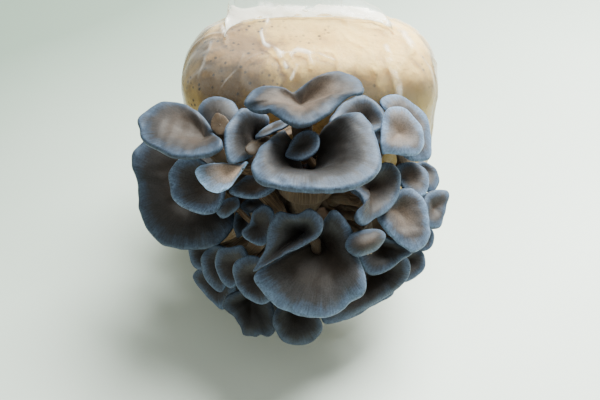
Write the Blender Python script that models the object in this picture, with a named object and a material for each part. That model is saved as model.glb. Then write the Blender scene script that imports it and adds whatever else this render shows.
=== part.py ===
"""Oyster mushroom grow bag: a cluster of blue-grey oyster mushrooms on a film-wrapped substrate block.

Metres, +Z up. The origin is the centre of the bag's flat underside, and the mushrooms face -Y.
The cluster is laid out on a grid seen by an eye in front of and above the bag: grid columns count
to the right and rows count down, in a frame of 600 by 400 steps, and each rim is drawn on that grid.
A depth in millimetres, towards the eye, then places each point along its line of sight.
"""

import math
from dataclasses import dataclass

import bmesh
import bpy
import numpy as np
from mathutils.kdtree import KDTree

MM = 0.001

# The block, wrapped in film, in millimetres
BLOCK_HALF_WIDTH = 104.0
BLOCK_HALF_DEPTH = 62.0
BLOCK_HEIGHT = 200.0
BLOCK_CORNER_POWER = 2.9
BLOCK_FOOT_RADIUS = 14.0
BLOCK_SHOULDER = 38.0
FILM_THICKNESS = 0.8
GAP = 0.4

# The layout grid and the eye that sees it
GRID_CENTRE = (300.0, 200.0)
GRID_STEP = 0.75
EYE_DISTANCE = 625.0
EYE_ELEVATION = math.radians(45.0)
CLUSTER_MIDDLE = np.array((-8.0, -112.0, 133.0))

RIGHT = np.array((1.0, 0.0, 0.0))
UP = np.array((0.0, math.sin(EYE_ELEVATION), math.cos(EYE_ELEVATION)))
TO_EYE = np.array((0.0, -math.cos(EYE_ELEVATION), math.sin(EYE_ELEVATION)))

# The clump of fused stem feet: (distance out from the block's face, radius), in millimetres
CLUMP_HEIGHT = 96.0
CLUMP_ACROSS = -6.0
CLUMP_PROFILE = ((0.0, 38.0), (16.0, 43.0), (34.0, 42.0), (48.0, 34.0), (58.0, 22.0), (62.0, 10.0))
CLUMP_SIDES = 16
CLUMP_STEP = 3.0

# The form of a cap: flesh at its rim, and how a shallow and a deep one rise from the navel
RIM_FLESH = 1.8
SHALLOW = 7.0
DEEP = 18.0
BOWL_POWER = 1.7
FUNNEL_POWER = 2.2

THIN_RIM = 0.15
THIN_NAVEL = 0.3
REACH_FOR_FULL_BULGE = 20.0
NECK_IN_STEP = 0.6
NECK_SPREAD = 0.7
SHARE_STEP = 0.04
CURVE_STEPS = 12

# How stems look for a way down to the clump
STEM_PULLS = (0.2, 0.4)
STEM_BOWS = (0.0, 8.0, 16.0, 26.0)
ROOT_OUTS = (8.0, 18.0, 28.0, 38.0, 48.0, 56.0)
ROOT_ANGLES = 20
ROOT_CHOICES = 80
FOOT_LIFT = 2.0
STEM_ROOM = 1.6
NECK_SHARE = 0.4
CROWDING = 60.0
BOW_TURNS = 6
CHORD_STEPS = 9
FOOT_SHARES = np.linspace(0.1, 0.9, 25)
SKIN_SHARES = np.linspace(0.1, 1.0, 15)
SKIN_SIDES = 12
ROUTE_SIDES = 44
LARGE_SIDES = 16

# The bag's rings, its hole, and its top, gathered flat and folded down the back
BLOCK_SIDES = 24
HOLE_RADIUS = 47.0
PUNCH_OVERSHOOT = 10.0
FLAP_HALF_WIDTH = 46.0
FLAP_ACROSS = -18.0
FLAP_HALF_THICKNESS = 0.7
FLAP_ROOT = (((62.0, 12.0), (-5.0, 28.0), 204.0), ((54.0, 5.0), (-12.0, 39.0), 208.0))
FLAP_FOLD = ((48.0, 213.0, 0.6), (54.0, 216.5, 0.0), (61.0, 215.0, -0.8), (66.0, 207.0, -1.4),
             (66.6, 152.0, -1.57), (65.6, 106.0, -1.57))

CAP_COLOUR = (0.30, 0.29, 0.28)
CLUMP_COLOUR = (0.62, 0.55, 0.45)
BLOCK_COLOUR = (0.62, 0.56, 0.44)
FILM_COLOUR = (0.85, 0.87, 0.88)


@dataclass
class Mushroom:
    """One mushroom: its rim and its navel on the grid, and its form in millimetres."""

    name: str
    navel: tuple
    near: float
    slope: tuple
    dish: float
    rim: tuple
    bulge: float = 4.0
    flesh: float = 5.0
    stem: float = 6.0
    flare: float = 1.15
    sides: int = 12
    grows_on: str = ""
    foot: tuple = ()


MUSHROOMS = (
    Mushroom(
        "mushroom_crown", (301, 105), 44, (0.05, -0.8), 8, bulge=6, flesh=6, stem=7.2, sides=17,
        rim=((243, 104), (252, 89), (266, 85), (281, 87), (288, 94, -5), (295, 92, -5), (311, 79, 7),
             (328, 72, 9), (347, 71, 5), (361, 80), (365, 92), (347, 99), (333, 112), (318, 122),
             (299, 128), (282, 122), (268, 110, 2), (256, 112, -3), (246, 110, -6)),
    ),
    Mushroom(
        "mushroom_centre_trumpet", (306, 176), 50, (0.0, -0.75), 50, bulge=3, flesh=6, stem=10, flare=2.2,
        sides=24,
        rim=((283, 128, -11), (268, 139), (254, 153), (250, 168), (257, 181), (276, 187), (300, 190),
             (330, 191), (354, 187), (373, 178), (382, 165), (381, 148), (376, 130), (368, 117), (357, 110),
             (338, 116, -6), (322, 130, -14), (318, 146, -28), (311, 160, -35), (303, 165, -38),
             (293, 154, -33), (286, 141, -26)),
    ),
    Mushroom(
        "mushroom_trumpet_bud", (303, 144), 41, (0.1, -0.3), 3, bulge=1.5, flesh=3, stem=2.8, sides=10,
        grows_on="mushroom_centre_trumpet", foot=(316, 164),
        rim=((285, 156), (289, 145), (297, 134), (308, 129), (318, 134), (319, 146), (311, 156),
             (298, 160)),
    ),
    Mushroom(
        "mushroom_left_wing_upper", (205, 137), 30, (0.15, -0.75), 12, bulge=4, flesh=6, stem=6.6, sides=17,
        rim=((137, 124), (139, 114), (152, 105), (163, 100), (180, 102), (196, 109), (207, 120, -5),
             (214, 132, -6), (224, 143, 2), (213, 153), (194, 157), (172, 156), (154, 147), (141, 138)),
    ),
    Mushroom(
        "mushroom_left_wing_large", (204, 190), -8, (0.1, -0.1), 25, bulge=4, flesh=7, stem=8, sides=17,
        rim=((141, 139, 4), (131, 154, 4), (131, 168, 4), (136, 184, 2), (136, 202, 2), (143, 225),
             (156, 242), (176, 250), (200, 251), (222, 243), (235, 227, -3), (236, 212, -9),
             (226, 196, -15), (210, 175, -16), (186, 150, -12), (160, 134)),
    ),
    Mushroom(
        "mushroom_left_inner", (217, 186), 17, (0.1, -0.15), 10, bulge=3, flesh=5, stem=5.5, sides=11,
        rim=((168, 180), (171, 166), (182, 157), (198, 158), (214, 168, -3), (224, 182, -4), (222, 200),
             (214, 213), (198, 213), (182, 207), (171, 196)),
    ),
    Mushroom(
        "mushroom_left_tongue", (241, 168), 35, (0.35, -0.4), -3, bulge=1, flesh=4.5, stem=3, sides=11,
        rim=((194, 172), (203, 164), (220, 163), (236, 163), (249, 161), (244, 170), (236, 181),
             (228, 190), (216, 193), (204, 188)),
    ),
    Mushroom(
        "mushroom_left_button", (230, 206), 17, (0.1, 0.0), -2, bulge=1, flesh=4, stem=2.6, sides=10,
        rim=((215, 214), (219, 203), (228, 197), (238, 197), (241, 205), (235, 213), (225, 219)),
    ),
    Mushroom(
        "mushroom_left_leaf", (260, 187), 25, (0.2, -0.35), 2, bulge=3, flesh=4.5, stem=5.6, sides=11,
        rim=((228, 192), (238, 181), (250, 173), (264, 175, -2), (275, 182), (275, 190), (262, 197),
             (244, 199)),
    ),
    Mushroom(
        "mushroom_upper_left_hood", (218, 112), 12, (0.15, -0.4), -7, bulge=1, flesh=4.5, stem=5.5, sides=13,
        rim=((206, 132), (199, 122), (197, 108), (206, 98), (221, 96), (235, 102), (241, 113),
             (236, 127), (221, 135)),
    ),
    Mushroom(
        "mushroom_upper_left_fold", (254, 139), 34, (-0.5, -0.3), 19, bulge=3, flesh=5, stem=6, sides=13,
        rim=((231, 118), (225, 128), (224, 140), (225, 152), (228, 162), (240, 163), (252, 158, -3),
             (262, 146, -8), (268, 130, -8), (270, 116, -2), (256, 110, -2), (243, 107)),
    ),
    Mushroom(
        "mushroom_upper_middle_flap", (272, 128), 23, (0.1, -1.1), 2, bulge=2, flesh=3, stem=3.4, sides=10,
        rim=((254, 137), (262, 129), (273, 122), (285, 119), (290, 123), (284, 128), (275, 131), (268, 135),
             (260, 138)),
    ),
    Mushroom(
        "mushroom_upper_middle_fold", (264, 142), 41, (-0.6, -0.6), 3, bulge=3, flesh=3.5, stem=3.5, sides=10,
        grows_on="mushroom_upper_left_fold", foot=(257, 153),
        rim=((245, 148), (250, 142), (260, 139), (270, 135), (271, 141), (263, 148), (255, 155),
             (248, 154)),
    ),
    Mushroom(
        "mushroom_upper_right_wave", (363, 126), 12, (-0.1, -0.6), 16, bulge=2, flesh=5, stem=6, sides=13,
        rim=((330, 122), (336, 109), (348, 99), (362, 94), (373, 98), (383, 109), (388, 123),
             (376, 130, 2), (360, 133), (343, 134)),
    ),
    Mushroom(
        "mushroom_upper_right_chip", (382, 134), 0, (-0.3, -0.3), 3, bulge=2, flesh=3, stem=3.2, sides=10,
        rim=((376, 127), (384, 124), (390, 127), (392, 134), (387, 143), (378, 144), (374, 136)),
    ),
    Mushroom(
        "mushroom_right_wing", (398, 134), 26, (-0.2, -0.35), 1, bulge=4, flesh=5.5, stem=5.5, sides=13,
        rim=((380, 122), (386, 108), (400, 105), (414, 114), (424, 130), (426, 144), (420, 155),
             (406, 157), (390, 155), (380, 152)),
    ),
    Mushroom(
        "mushroom_right_wing_back", (405, 128), 4, (-0.25, -0.35), 1, bulge=4, flesh=5.5, stem=6.5, sides=13,
        rim=((384, 112), (378, 102), (384, 95), (395, 93), (408, 98), (422, 109), (431, 124), (433, 144),
             (430, 160), (412, 162), (401, 154), (398, 138), (396, 122)),
    ),
    Mushroom(
        "mushroom_right_funnel", (369, 190), 30, (-0.6, -0.25), 17, bulge=4, flesh=5.5, stem=8, flare=1.7,
        sides=17,
        rim=((350, 186, -8), (364, 174, -6), (380, 163), (390, 161), (398, 166), (402, 180), (400, 196),
             (390, 211), (376, 219), (367, 226), (358, 224, 2), (355, 213, 4), (362, 205, 2),
             (359, 194, -2)),
    ),
    Mushroom(
        "mushroom_right_middle", (408, 176), 0, (-0.2, -0.4), 3, bulge=3, flesh=4.5, stem=5, sides=11,
        rim=((396, 166), (408, 161), (421, 164), (430, 176), (428, 191), (420, 198), (408, 192),
             (398, 180)),
    ),
    Mushroom(
        "mushroom_right_edge", (424, 172), -14, (-0.3, -0.3), 3, bulge=3, flesh=4, stem=3.4, sides=10,
        rim=((415, 164), (426, 162), (437, 169), (440, 182), (434, 192), (422, 190), (415, 178)),
    ),
    Mushroom(
        "mushroom_right_wing_low", (398, 210), 12, (-0.15, -0.15), 5, bulge=4, flesh=6, stem=7, sides=15,
        rim=((392, 197), (403, 187), (418, 190), (427, 203), (431, 222), (429, 242), (415, 253),
             (401, 246), (388, 233, 3), (377, 219, 2), (380, 208, -3)),
    ),
    Mushroom(
        "mushroom_right_ear", (434, 208), -6, (-0.5, -0.2), 3, bulge=3, flesh=4.5, stem=5, sides=11,
        rim=((423, 198), (432, 190), (446, 189), (450, 196), (446, 210), (443, 225), (433, 230),
             (424, 222)),
    ),
    Mushroom(
        "mushroom_right_nub", (424, 238), -22, (-0.4, 0.0), 3, bulge=3, flesh=4, stem=4, sides=10,
        rim=((418, 228), (430, 226), (435, 236), (431, 249), (421, 251), (415, 242)),
    ),
    Mushroom(
        "mushroom_right_button", (366, 243), 38, (-0.1, -0.2), -9, bulge=1, flesh=5, stem=3.6, sides=13,
        rim=((342, 244), (349, 233), (363, 228), (380, 227), (388, 235), (384, 246), (372, 255),
             (356, 259), (345, 253)),
    ),
    Mushroom(
        "mushroom_right_lower", (382, 246), 6, (-0.15, -0.1), 6, bulge=4, flesh=5, stem=4.8, sides=13,
        rim=((361, 240), (376, 235), (396, 241), (414, 252), (402, 261), (388, 272), (372, 276),
             (361, 266), (358, 252)),
    ),
    Mushroom(
        "mushroom_right_skirt", (376, 268), -4, (-0.2, 0.15), 9, bulge=6, flesh=5.5, stem=7, sides=16,
        rim=((384, 258), (402, 255), (412, 262), (409, 278), (396, 292), (378, 303), (356, 315),
             (338, 323), (324, 324), (320, 310), (336, 290), (360, 266)),
    ),
    Mushroom(
        "mushroom_right_skirt_back", (370, 284), -24, (-0.2, 0.15), 6, bulge=4, flesh=4.5, stem=6, sides=11,
        rim=((392, 282), (396, 292), (388, 299), (372, 308), (352, 319), (340, 320), (344, 300),
             (366, 284)),
    ),
    Mushroom(
        "mushroom_right_outer", (405, 260), -22, (-0.35, 0.0), 5, bulge=4, flesh=4.5, stem=5, sides=11,
        rim=((402, 250), (420, 249), (427, 258), (424, 271), (412, 281), (400, 282), (396, 266)),
    ),
    Mushroom(
        "mushroom_bottom_fan", (323, 243), 36, (0.0, -0.05), 22, bulge=5, flesh=7, stem=9, sides=17,
        rim=((253, 274), (258, 288), (270, 303), (286, 313), (310, 319), (335, 317), (351, 305),
             (365, 293), (367, 276), (361, 258), (358, 238, -4), (345, 214, -4), (331, 208),
             (321, 222, -12), (302, 240, -13), (274, 260, -5)),
    ),
    Mushroom(
        "mushroom_bottom_fold", (304, 232), 54, (0.2, 0.1), 16, bulge=3, flesh=4.5, stem=3.8, sides=16,
        grows_on="mushroom_bottom_fan", foot=(314, 250),
        rim=((252, 272), (262, 254), (266, 238), (269, 221), (279, 211), (296, 214), (311, 208),
             (323, 220), (320, 235), (300, 247), (276, 260)),
    ),
    Mushroom(
        "mushroom_lower_left_shield", (258, 226), 24, (0.1, 0.0), 4, bulge=3, flesh=4.5, stem=3.4, sides=11,
        rim=((241, 231), (250, 223), (254, 211), (264, 204), (274, 210), (275, 226), (267, 243),
             (257, 246), (246, 240)),
    ),
    Mushroom(
        "mushroom_lower_left_inner", (236, 264), 2, (0.25, 0.1), 5, bulge=3, flesh=4.5, stem=5.5, sides=11,
        rim=((214, 264), (218, 249), (230, 247), (242, 246), (248, 258), (243, 276), (232, 289),
             (221, 282)),
    ),
    Mushroom(
        "mushroom_lower_left_scale", (256, 276), 17, (0.2, 0.1), 5, bulge=4, flesh=5, stem=6, sides=13,
        rim=((231, 271), (237, 259), (250, 255), (264, 260), (272, 276), (275, 294), (266, 305),
             (250, 302), (237, 289)),
    ),
    Mushroom(
        "mushroom_lower_left_outer", (225, 258), -14, (0.3, 0.1), 6, bulge=4, flesh=4.5, stem=5.5, sides=11,
        rim=((200, 261), (205, 250), (218, 245), (231, 252), (233, 272), (222, 293), (210, 287),
             (202, 274)),
    ),
    Mushroom(
        "mushroom_lower_left_rim", (210, 254), -32, (0.35, 0.1), 5, bulge=4, flesh=4.5, stem=5.5, sides=11,
        rim=((187, 252), (190, 242), (206, 236), (220, 244), (217, 264), (204, 272), (193, 267)),
    ),
    Mushroom(
        "mushroom_lower_left_tail", (218, 278), -39, (0.3, 0.2), 5, bulge=4, flesh=4.5, stem=5.5, sides=11,
        rim=((194, 283), (192, 275), (198, 268), (213, 264, -3), (230, 270), (236, 284), (234, 300),
             (222, 311), (210, 301), (200, 291)),
    ),
    Mushroom(
        "mushroom_bottom_left_skirt", (252, 298), -8, (0.1, 0.2), 8, bulge=4, flesh=5.5, stem=6.5, sides=17,
        rim=((221, 307), (225, 298), (238, 290), (260, 290), (273, 304), (276, 318), (277, 330), (270, 337),
             (261, 335), (252, 339), (243, 335), (238, 324), (229, 314)),
    ),
    Mushroom(
        "mushroom_bottom_tongue", (297, 304), 0, (0.0, 0.2), 8, bulge=6, flesh=5.5, stem=6.5, sides=13,
        rim=((271, 322), (275, 309), (288, 301), (306, 302), (319, 314), (324, 330), (314, 342),
             (297, 347), (281, 341)),
    ),
    Mushroom(
        "mushroom_gap_blade", (244, 218), 2, (-0.3, 0.0), 3, bulge=2, flesh=3, stem=3, sides=9,
        rim=((236, 212), (246, 209), (250, 218), (247, 230), (238, 238), (234, 226)),
    ),
    Mushroom(
        "mushroom_gap_leaf", (253, 204), 3, (0.0, -0.3), 3, bulge=2, flesh=3, stem=2.6, sides=9,
        rim=((240, 208), (246, 199), (262, 198), (272, 203), (262, 208), (250, 212)),
    ),
    Mushroom(
        "mushroom_gap_upper", (214, 158), -18, (0.1, -0.5), 3, bulge=2, flesh=3.5, stem=4, sides=9,
        rim=((190, 160), (204, 146), (224, 142), (238, 150), (234, 164), (218, 170), (200, 170)),
    ),
    Mushroom(
        "mushroom_gap_right", (386, 229), -2, (-0.1, 0.1), 2, bulge=1, flesh=3, stem=3, sides=9,
        rim=((372, 222), (380, 217), (390, 224), (400, 235), (399, 241), (388, 240), (377, 235)),
    ),
    Mushroom(
        "mushroom_hood_stub", (220, 125), 32, (0.2, -0.2), -1, bulge=0.5, flesh=2.5, stem=2.8, sides=9,
        grows_on="mushroom_upper_left_hood", foot=(222, 120),
        rim=((212, 117), (218, 113), (228, 119), (230, 127), (226, 134), (217, 135), (211, 127)),
    ),
    Mushroom(
        "mushroom_underside_left", (235, 270), -58, (0.3, 0.5), 6, bulge=4, flesh=5, stem=6, sides=9,
        rim=((205, 280), (213, 262), (232, 256), (250, 264), (256, 284), (244, 304), (224, 304)),
    ),
    Mushroom(
        "mushroom_underside_middle", (285, 290), -44, (0.05, 0.5), 6, bulge=4, flesh=5, stem=5.5, sides=9,
        rim=((254, 300), (264, 282), (284, 276), (306, 280), (318, 298), (306, 322), (284, 328),
             (264, 320)),
    ),
    Mushroom(
        "mushroom_underside_right", (350, 275), -54, (-0.3, 0.4), 6, bulge=4, flesh=5, stem=6, sides=9,
        rim=((332, 284), (340, 264), (362, 256), (384, 264), (388, 284), (370, 302), (346, 304)),
    ),
    Mushroom(
        "mushroom_side_left", (190, 212), -48, (0.4, 0.0), 8, bulge=5, flesh=5, stem=6.5, sides=9,
        rim=((158, 208), (166, 190), (188, 182), (208, 190), (214, 212), (202, 234), (178, 236),
             (162, 226)),
    ),
    Mushroom(
        "mushroom_side_right", (412, 212), -44, (-0.4, -0.1), 8, bulge=5, flesh=5, stem=6.5, sides=9,
        rim=((392, 206), (404, 190), (424, 190), (436, 206), (434, 226), (416, 236), (396, 228)),
    ),
)


def on_sight_line(column, row, near):
    """The point that the eye sees at a grid place, at a depth in front of the cluster's middle."""
    across = (column - GRID_CENTRE[0]) * GRID_STEP
    up = (GRID_CENTRE[1] - row) * GRID_STEP
    return CLUSTER_MIDDLE + (1 - near / EYE_DISTANCE) * (across * RIGHT + up * UP) + near * TO_EYE


def through_points(points, count):
    """Evenly spaced points on a smooth closed curve through the points given."""
    steps = np.linspace(0, 1, CURVE_STEPS, endpoint=False)[:, None]
    before, start, end, after = (np.roll(points, shift, axis=0) for shift in (1, 0, -1, -2))
    pieces = [
        0.5 * (2 * b + (c - a) * steps + (2 * a - 5 * b + 4 * c - d) * steps**2
               + (3 * b - a - 3 * c + d) * steps**3)
        for a, b, c, d in zip(before, start, end, after)
    ]
    curve = np.vstack(pieces + [points[:1]])
    run = np.concatenate(([0], np.cumsum(np.linalg.norm(np.diff(curve, axis=0), axis=1))))
    wanted = np.linspace(0, run[-1], count, endpoint=False)
    return np.stack([np.interp(wanted, run, curve[:, axis]) for axis in range(3)], axis=1)


def unit(vector):
    return vector / np.linalg.norm(vector)


class Cap:
    """A mushroom's cap as a surface: share 0 is the navel and share 1 the rim."""

    def __init__(self, mushroom, count):
        grid = np.array([point[:2] for point in mushroom.rim], float)
        lift = np.array([point[2] if len(point) > 2 else 0.0 for point in mushroom.rim])
        centre = grid.mean(axis=0)
        slope = np.array(mushroom.slope)

        def depth(place):
            offset = (np.array(place) - centre) * (GRID_STEP, -GRID_STEP)
            return mushroom.near + float(offset @ slope)

        rim = np.array([on_sight_line(*place, depth(place) + up) for place, up in zip(grid, lift)])
        self.rim = through_points(rim, count)
        self.navel = on_sight_line(*mushroom.navel, depth(mushroom.navel) - mushroom.dish)
        self.normal = unit(TO_EYE - slope[0] * RIGHT - slope[1] * UP)
        self.rise = (self.rim - self.navel) @ self.normal
        self.reach = self.rim - self.navel - np.outer(self.rise, self.normal)
        lengths = np.linalg.norm(self.reach, axis=1)
        self.bulge = mushroom.bulge * np.minimum(1, lengths / REACH_FOR_FULL_BULGE)
        self.flesh = mushroom.flesh
        around = np.cross(self.reach, np.roll(self.reach, -1, axis=0)) @ self.normal
        if around.sum() < 0:
            for field in ("rim", "rise", "reach", "bulge"):
                setattr(self, field, getattr(self, field)[::-1].copy())

    def top(self, share):
        deep = np.clip((self.rise - SHALLOW) / (DEEP - SHALLOW), 0, 1)
        funnel, bowl = 1 - (1 - share) ** FUNNEL_POWER, share**BOWL_POWER
        rise = self.rise * (deep * funnel + (1 - deep) * bowl)
        height = rise + self.bulge * math.sin(math.pi * share**1.3)
        return self.navel + self.reach * share + np.outer(height, self.normal)

    def facing(self, share):
        """The direction the top faces, at each point of a ring."""
        ahead = self.top(min(1.0, share + SHARE_STEP))
        behind = self.top(max(SHARE_STEP / 2, share - SHARE_STEP))
        ring = self.top(share)
        along = np.roll(ring, -1, axis=0) - np.roll(ring, 1, axis=0)
        normals = np.cross(ahead - behind, along)
        return normals / np.linalg.norm(normals, axis=1)[:, None]

    def under(self, share):
        """The underside, thinner towards the rim and where the cap is narrow."""
        flesh = RIM_FLESH + (self.flesh - RIM_FLESH) * (1 - share)
        narrow = (THIN_RIM + THIN_NAVEL * (1 - share)) * np.linalg.norm(self.reach, axis=1)
        return self.top(share) - np.minimum(flesh, narrow)[:, None] * self.facing(share)

    def round_navel(self):
        """Two directions across the cap, the rim points' angles between them and even angles in step."""
        across = unit(self.reach[0])
        beside = np.cross(self.normal, across)
        angles = np.unwrap(np.arctan2(self.reach @ beside, self.reach @ across))
        even = 2 * math.pi * np.arange(len(angles)) / len(angles)
        return across, beside, angles, even + (angles - even).mean()

    def neck(self, mushroom):
        """The ring under the navel where the stem begins."""
        across, beside, angles, even = self.round_navel()
        turn = NECK_IN_STEP * angles + (1 - NECK_IN_STEP) * even
        widest = NECK_SPREAD * np.linalg.norm(self.reach, axis=1) + 1
        radii = np.minimum(stem_radius(mushroom, 0.0), widest)
        spokes = np.outer(np.cos(turn), across) + np.outer(np.sin(turn), beside)
        return self.navel - self.normal * self.flesh + spokes * radii[:, None]


def clump_point(angle, out, gap=0.0):
    """A point on the clump's skin and the direction it faces there; out runs from the block's face."""
    outs, radii = np.array(CLUMP_PROFILE).T
    radius = float(np.interp(out, outs, radii))
    nearby = np.interp((out - CLUMP_STEP, out + CLUMP_STEP), outs, radii)
    fall = float(nearby[1] - nearby[0]) / (2 * CLUMP_STEP)
    round_axis = np.array((math.cos(angle), 0.0, math.sin(angle)))
    facing = unit(round_axis + np.array((0.0, fall, 0.0)))
    centre = np.array((CLUMP_ACROSS, -BLOCK_HALF_DEPTH - out, CLUMP_HEIGHT))
    return centre + radius * round_axis + gap * facing, facing


def clump_depth(points):
    """How far outside the clump's skin each point lies, in millimetres."""
    outs, radii = np.array(CLUMP_PROFILE).T
    out = -BLOCK_HALF_DEPTH - points[:, 1]
    radial = np.hypot(points[:, 0] - CLUMP_ACROSS, points[:, 2] - CLUMP_HEIGHT)
    return np.maximum(radial - np.interp(out, outs, radii), out - outs[-1])


def stem_curve(routes, count):
    """Points down each route: a curve that leaves the cap along down and meets its root square on."""
    start, down, end, facing, bow, pull = routes
    length = np.linalg.norm(end - start, axis=1, keepdims=True) * pull
    leave = start + down * length + bow
    arrive = end + facing * length + bow
    share = np.linspace(0, 1, count)[:, None]
    weights = ((1 - share) ** 3, 3 * (1 - share) ** 2 * share, 3 * (1 - share) * share**2, share**3)
    return sum(weight * corner[:, None] for weight, corner in zip(weights, (start, leave, arrive, end)))


def foot_on(host, place):
    """The point of a host's top nearest to a grid place as the eye sees it, and the way it faces there."""
    goal = on_sight_line(*place, 0.0)
    eye = CLUSTER_MIDDLE + EYE_DISTANCE * TO_EYE
    sight = unit(goal - eye)
    best = None
    for share in FOOT_SHARES:
        points = host.top(share)
        away = np.linalg.norm(np.cross(points - eye, sight), axis=1)
        index = int(away.argmin())
        if best is None or away[index] < best[0]:
            best = (away[index], points[index], host.facing(share)[index])
    return best[1], best[2]


def stem_routes(mushroom, cap, caps):
    """Every way down that a stem could take: arrays of starts, downs, ends, facings, bows and pulls."""
    start = cap.navel - cap.normal * cap.flesh
    if mushroom.grows_on:
        point, facing = foot_on(caps[mushroom.grows_on], mushroom.foot)
        roots = [(point + facing * FOOT_LIFT, facing)]
    else:
        roots = [clump_point(angle, out, GAP) for out in ROOT_OUTS
                 for angle in np.linspace(0, 2 * math.pi, ROOT_ANGLES, endpoint=False)]
        roots.sort(key=lambda root: np.linalg.norm(root[0] - start))
        roots = roots[:ROOT_CHOICES]
    routes = []
    for end, facing in roots:
        along = unit(end - start)
        side, lift = square_to(along)
        for reach in STEM_BOWS:
            turns = np.linspace(0, 2 * math.pi, BOW_TURNS, endpoint=False) if reach else (0.0,)
            for turn in turns:
                bow = reach * (math.cos(turn) * side + math.sin(turn) * lift)
                routes += [(start, -cap.normal, end, facing, bow, (pull,)) for pull in STEM_PULLS]
    return [np.array(column) for column in zip(*routes)]


def stem_radius(mushroom, share):
    """The stem's radius at a share of the way down from the cap."""
    return mushroom.stem * (1 + (mushroom.flare - 1) * (1 - share) ** 2)


def stem_ring_count(mushroom):
    return 4 if mushroom.sides >= LARGE_SIDES else 3


def chords(lines):
    """Points along the straight pieces between the points of each line."""
    pieces = lines.shape[1] - 1
    at = np.linspace(0, pieces, pieces * CHORD_STEPS + 1)
    lower = np.minimum(at.astype(int), pieces - 1)
    share = (at - lower)[:, None]
    return lines[:, lower] * (1 - share) + lines[:, lower + 1] * share


def square_to(along):
    """Two directions square to the one given."""
    side = unit(np.cross(along, UP + 0.3 * RIGHT))
    return side, np.cross(side, along)


def stem_skin(mushroom, line):
    """Points spread over the skin of a stem."""
    points = []
    radii = stem_radius(mushroom, np.linspace(0, 1, len(line)))
    for before, point, after, radius in zip(line, line[1:], line[2:], radii[1:]):
        along = unit(after - before)
        side, lift = square_to(along)
        for turn in np.linspace(0, 2 * math.pi, SKIN_SIDES, endpoint=False):
            spoke = math.cos(turn) * side + math.sin(turn) * lift
            points += [point + radius * spoke, point + 0.5 * radius * spoke]
    return np.array(points)


def clearest(mushroom, lines, lengths, tree):
    """The index of a short line that keeps clear of the clump, the block and every point in the tree."""
    off_clump = clump_depth(lines[:, 1:-CHORD_STEPS].reshape(-1, 3)).reshape(len(lines), -1).min(axis=1)
    off_block = (-BLOCK_HALF_DEPTH - 1 - lines[:, 1:, 1]).min(axis=1)
    room = np.minimum(STEM_ROOM, np.minimum(off_clump, off_block) - mushroom.stem)
    best_cost, best = math.inf, 0
    for index in np.argsort(lengths + CROWDING * (STEM_ROOM - room)):
        least = STEM_ROOM - (best_cost - lengths[index]) / CROWDING
        free = room[index]
        if free <= least:
            break
        for point in lines[index, 1:-1]:
            free = min(free, tree.find(point)[2] - mushroom.stem)
            if free <= least:
                break
        if free > least:
            best_cost, best = lengths[index] + CROWDING * (STEM_ROOM - free), index
    return best


def choose_stems(mushrooms, caps):
    """For each mushroom, the shortest stem that keeps clear of the clump, every cap and every stem so far."""
    skins = {}
    for mushroom in mushrooms:
        cap = caps[mushroom.name]
        rings = [side(share) for side in (cap.top, cap.under) for share in SKIN_SHARES]
        neck, shoulder = cap.neck(mushroom), cap.under(NECK_SHARE)
        rings += [neck + (shoulder - neck) * share for share in (0.0, 0.25, 0.5, 0.75)]
        skins[mushroom.name] = np.vstack(rings)
    stems = {}
    for mushroom in sorted(mushrooms, key=lambda each: -each.stem):
        points = np.vstack([skin for name, skin in skins.items() if name != mushroom.name])
        tree = KDTree(len(points))
        for index, point in enumerate(points):
            tree.insert(point, index)
        tree.balance()
        routes = stem_routes(mushroom, caps[mushroom.name], caps)
        lines = chords(stem_curve(routes, stem_ring_count(mushroom)))
        lengths = np.linalg.norm(np.diff(lines, axis=1), axis=2).sum(axis=1)
        on_cap = bool(mushroom.grows_on)
        best = int(lengths.argmin()) if on_cap else clearest(mushroom, lines, lengths, tree)
        stems[mushroom.name] = [column[best : best + 1] for column in routes]
        skins[mushroom.name + " stem"] = stem_skin(mushroom, lines[best])
    return stems


def turned(vectors, before, after):
    """Vectors turned by the smallest turn that takes one direction onto another."""
    axis = np.cross(before, after)
    cosine = float(before @ after)
    if np.linalg.norm(axis) < 1e-9:
        return vectors
    spun = np.cross(axis, vectors)
    return vectors + spun + np.cross(axis, spun) / (1 + cosine)


def stem_rings(mushroom, cap, route, count):
    """Rings down the stem, in step with the cap's rim, from the neck to the root."""
    line = stem_curve(route, count)[0]
    across, beside, _, even = cap.round_navel()
    rings = [cap.neck(mushroom)]
    facing = -cap.normal
    for index in range(1, count):
        heading = -route[3][0] if index == count - 1 else unit(line[index + 1] - line[index - 1])
        across, beside = turned(np.array((across, beside)), facing, heading)
        facing = heading
        spokes = np.outer(np.cos(even), across) + np.outer(np.sin(even), beside)
        rings.append(line[index] + spokes * stem_radius(mushroom, index / (count - 1)))
    return rings


def solid(name, rings, material, first=None, last=None):
    """A closed body lofted through rings of equal count, capped at both ends."""
    mesh = bmesh.new()
    loops = [[mesh.verts.new(point * MM) for point in ring] for ring in rings]
    for lower, upper in zip(loops, loops[1:]):
        for index in range(len(lower)):
            after = (index + 1) % len(lower)
            mesh.faces.new((lower[index], lower[after], upper[after], upper[index]))
    for loop, tip in ((loops[0], first), (loops[-1], last)):
        centre = np.mean([vertex.co for vertex in loop], axis=0) if tip is None else tip * MM
        hub = mesh.verts.new(centre)
        for index in range(len(loop)):
            mesh.faces.new((loop[index], loop[(index + 1) % len(loop)], hub))
    bmesh.ops.recalc_face_normals(mesh, faces=mesh.faces)
    if mesh.calc_volume(signed=True) < 0:
        bmesh.ops.reverse_faces(mesh, faces=mesh.faces)
    for face in mesh.faces:
        face.smooth = True
    data = bpy.data.meshes.new(name)
    mesh.to_mesh(data)
    mesh.free()
    data.materials.append(material)
    body = bpy.data.objects.new(name, data)
    bpy.context.scene.collection.objects.link(body)
    return body


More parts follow.
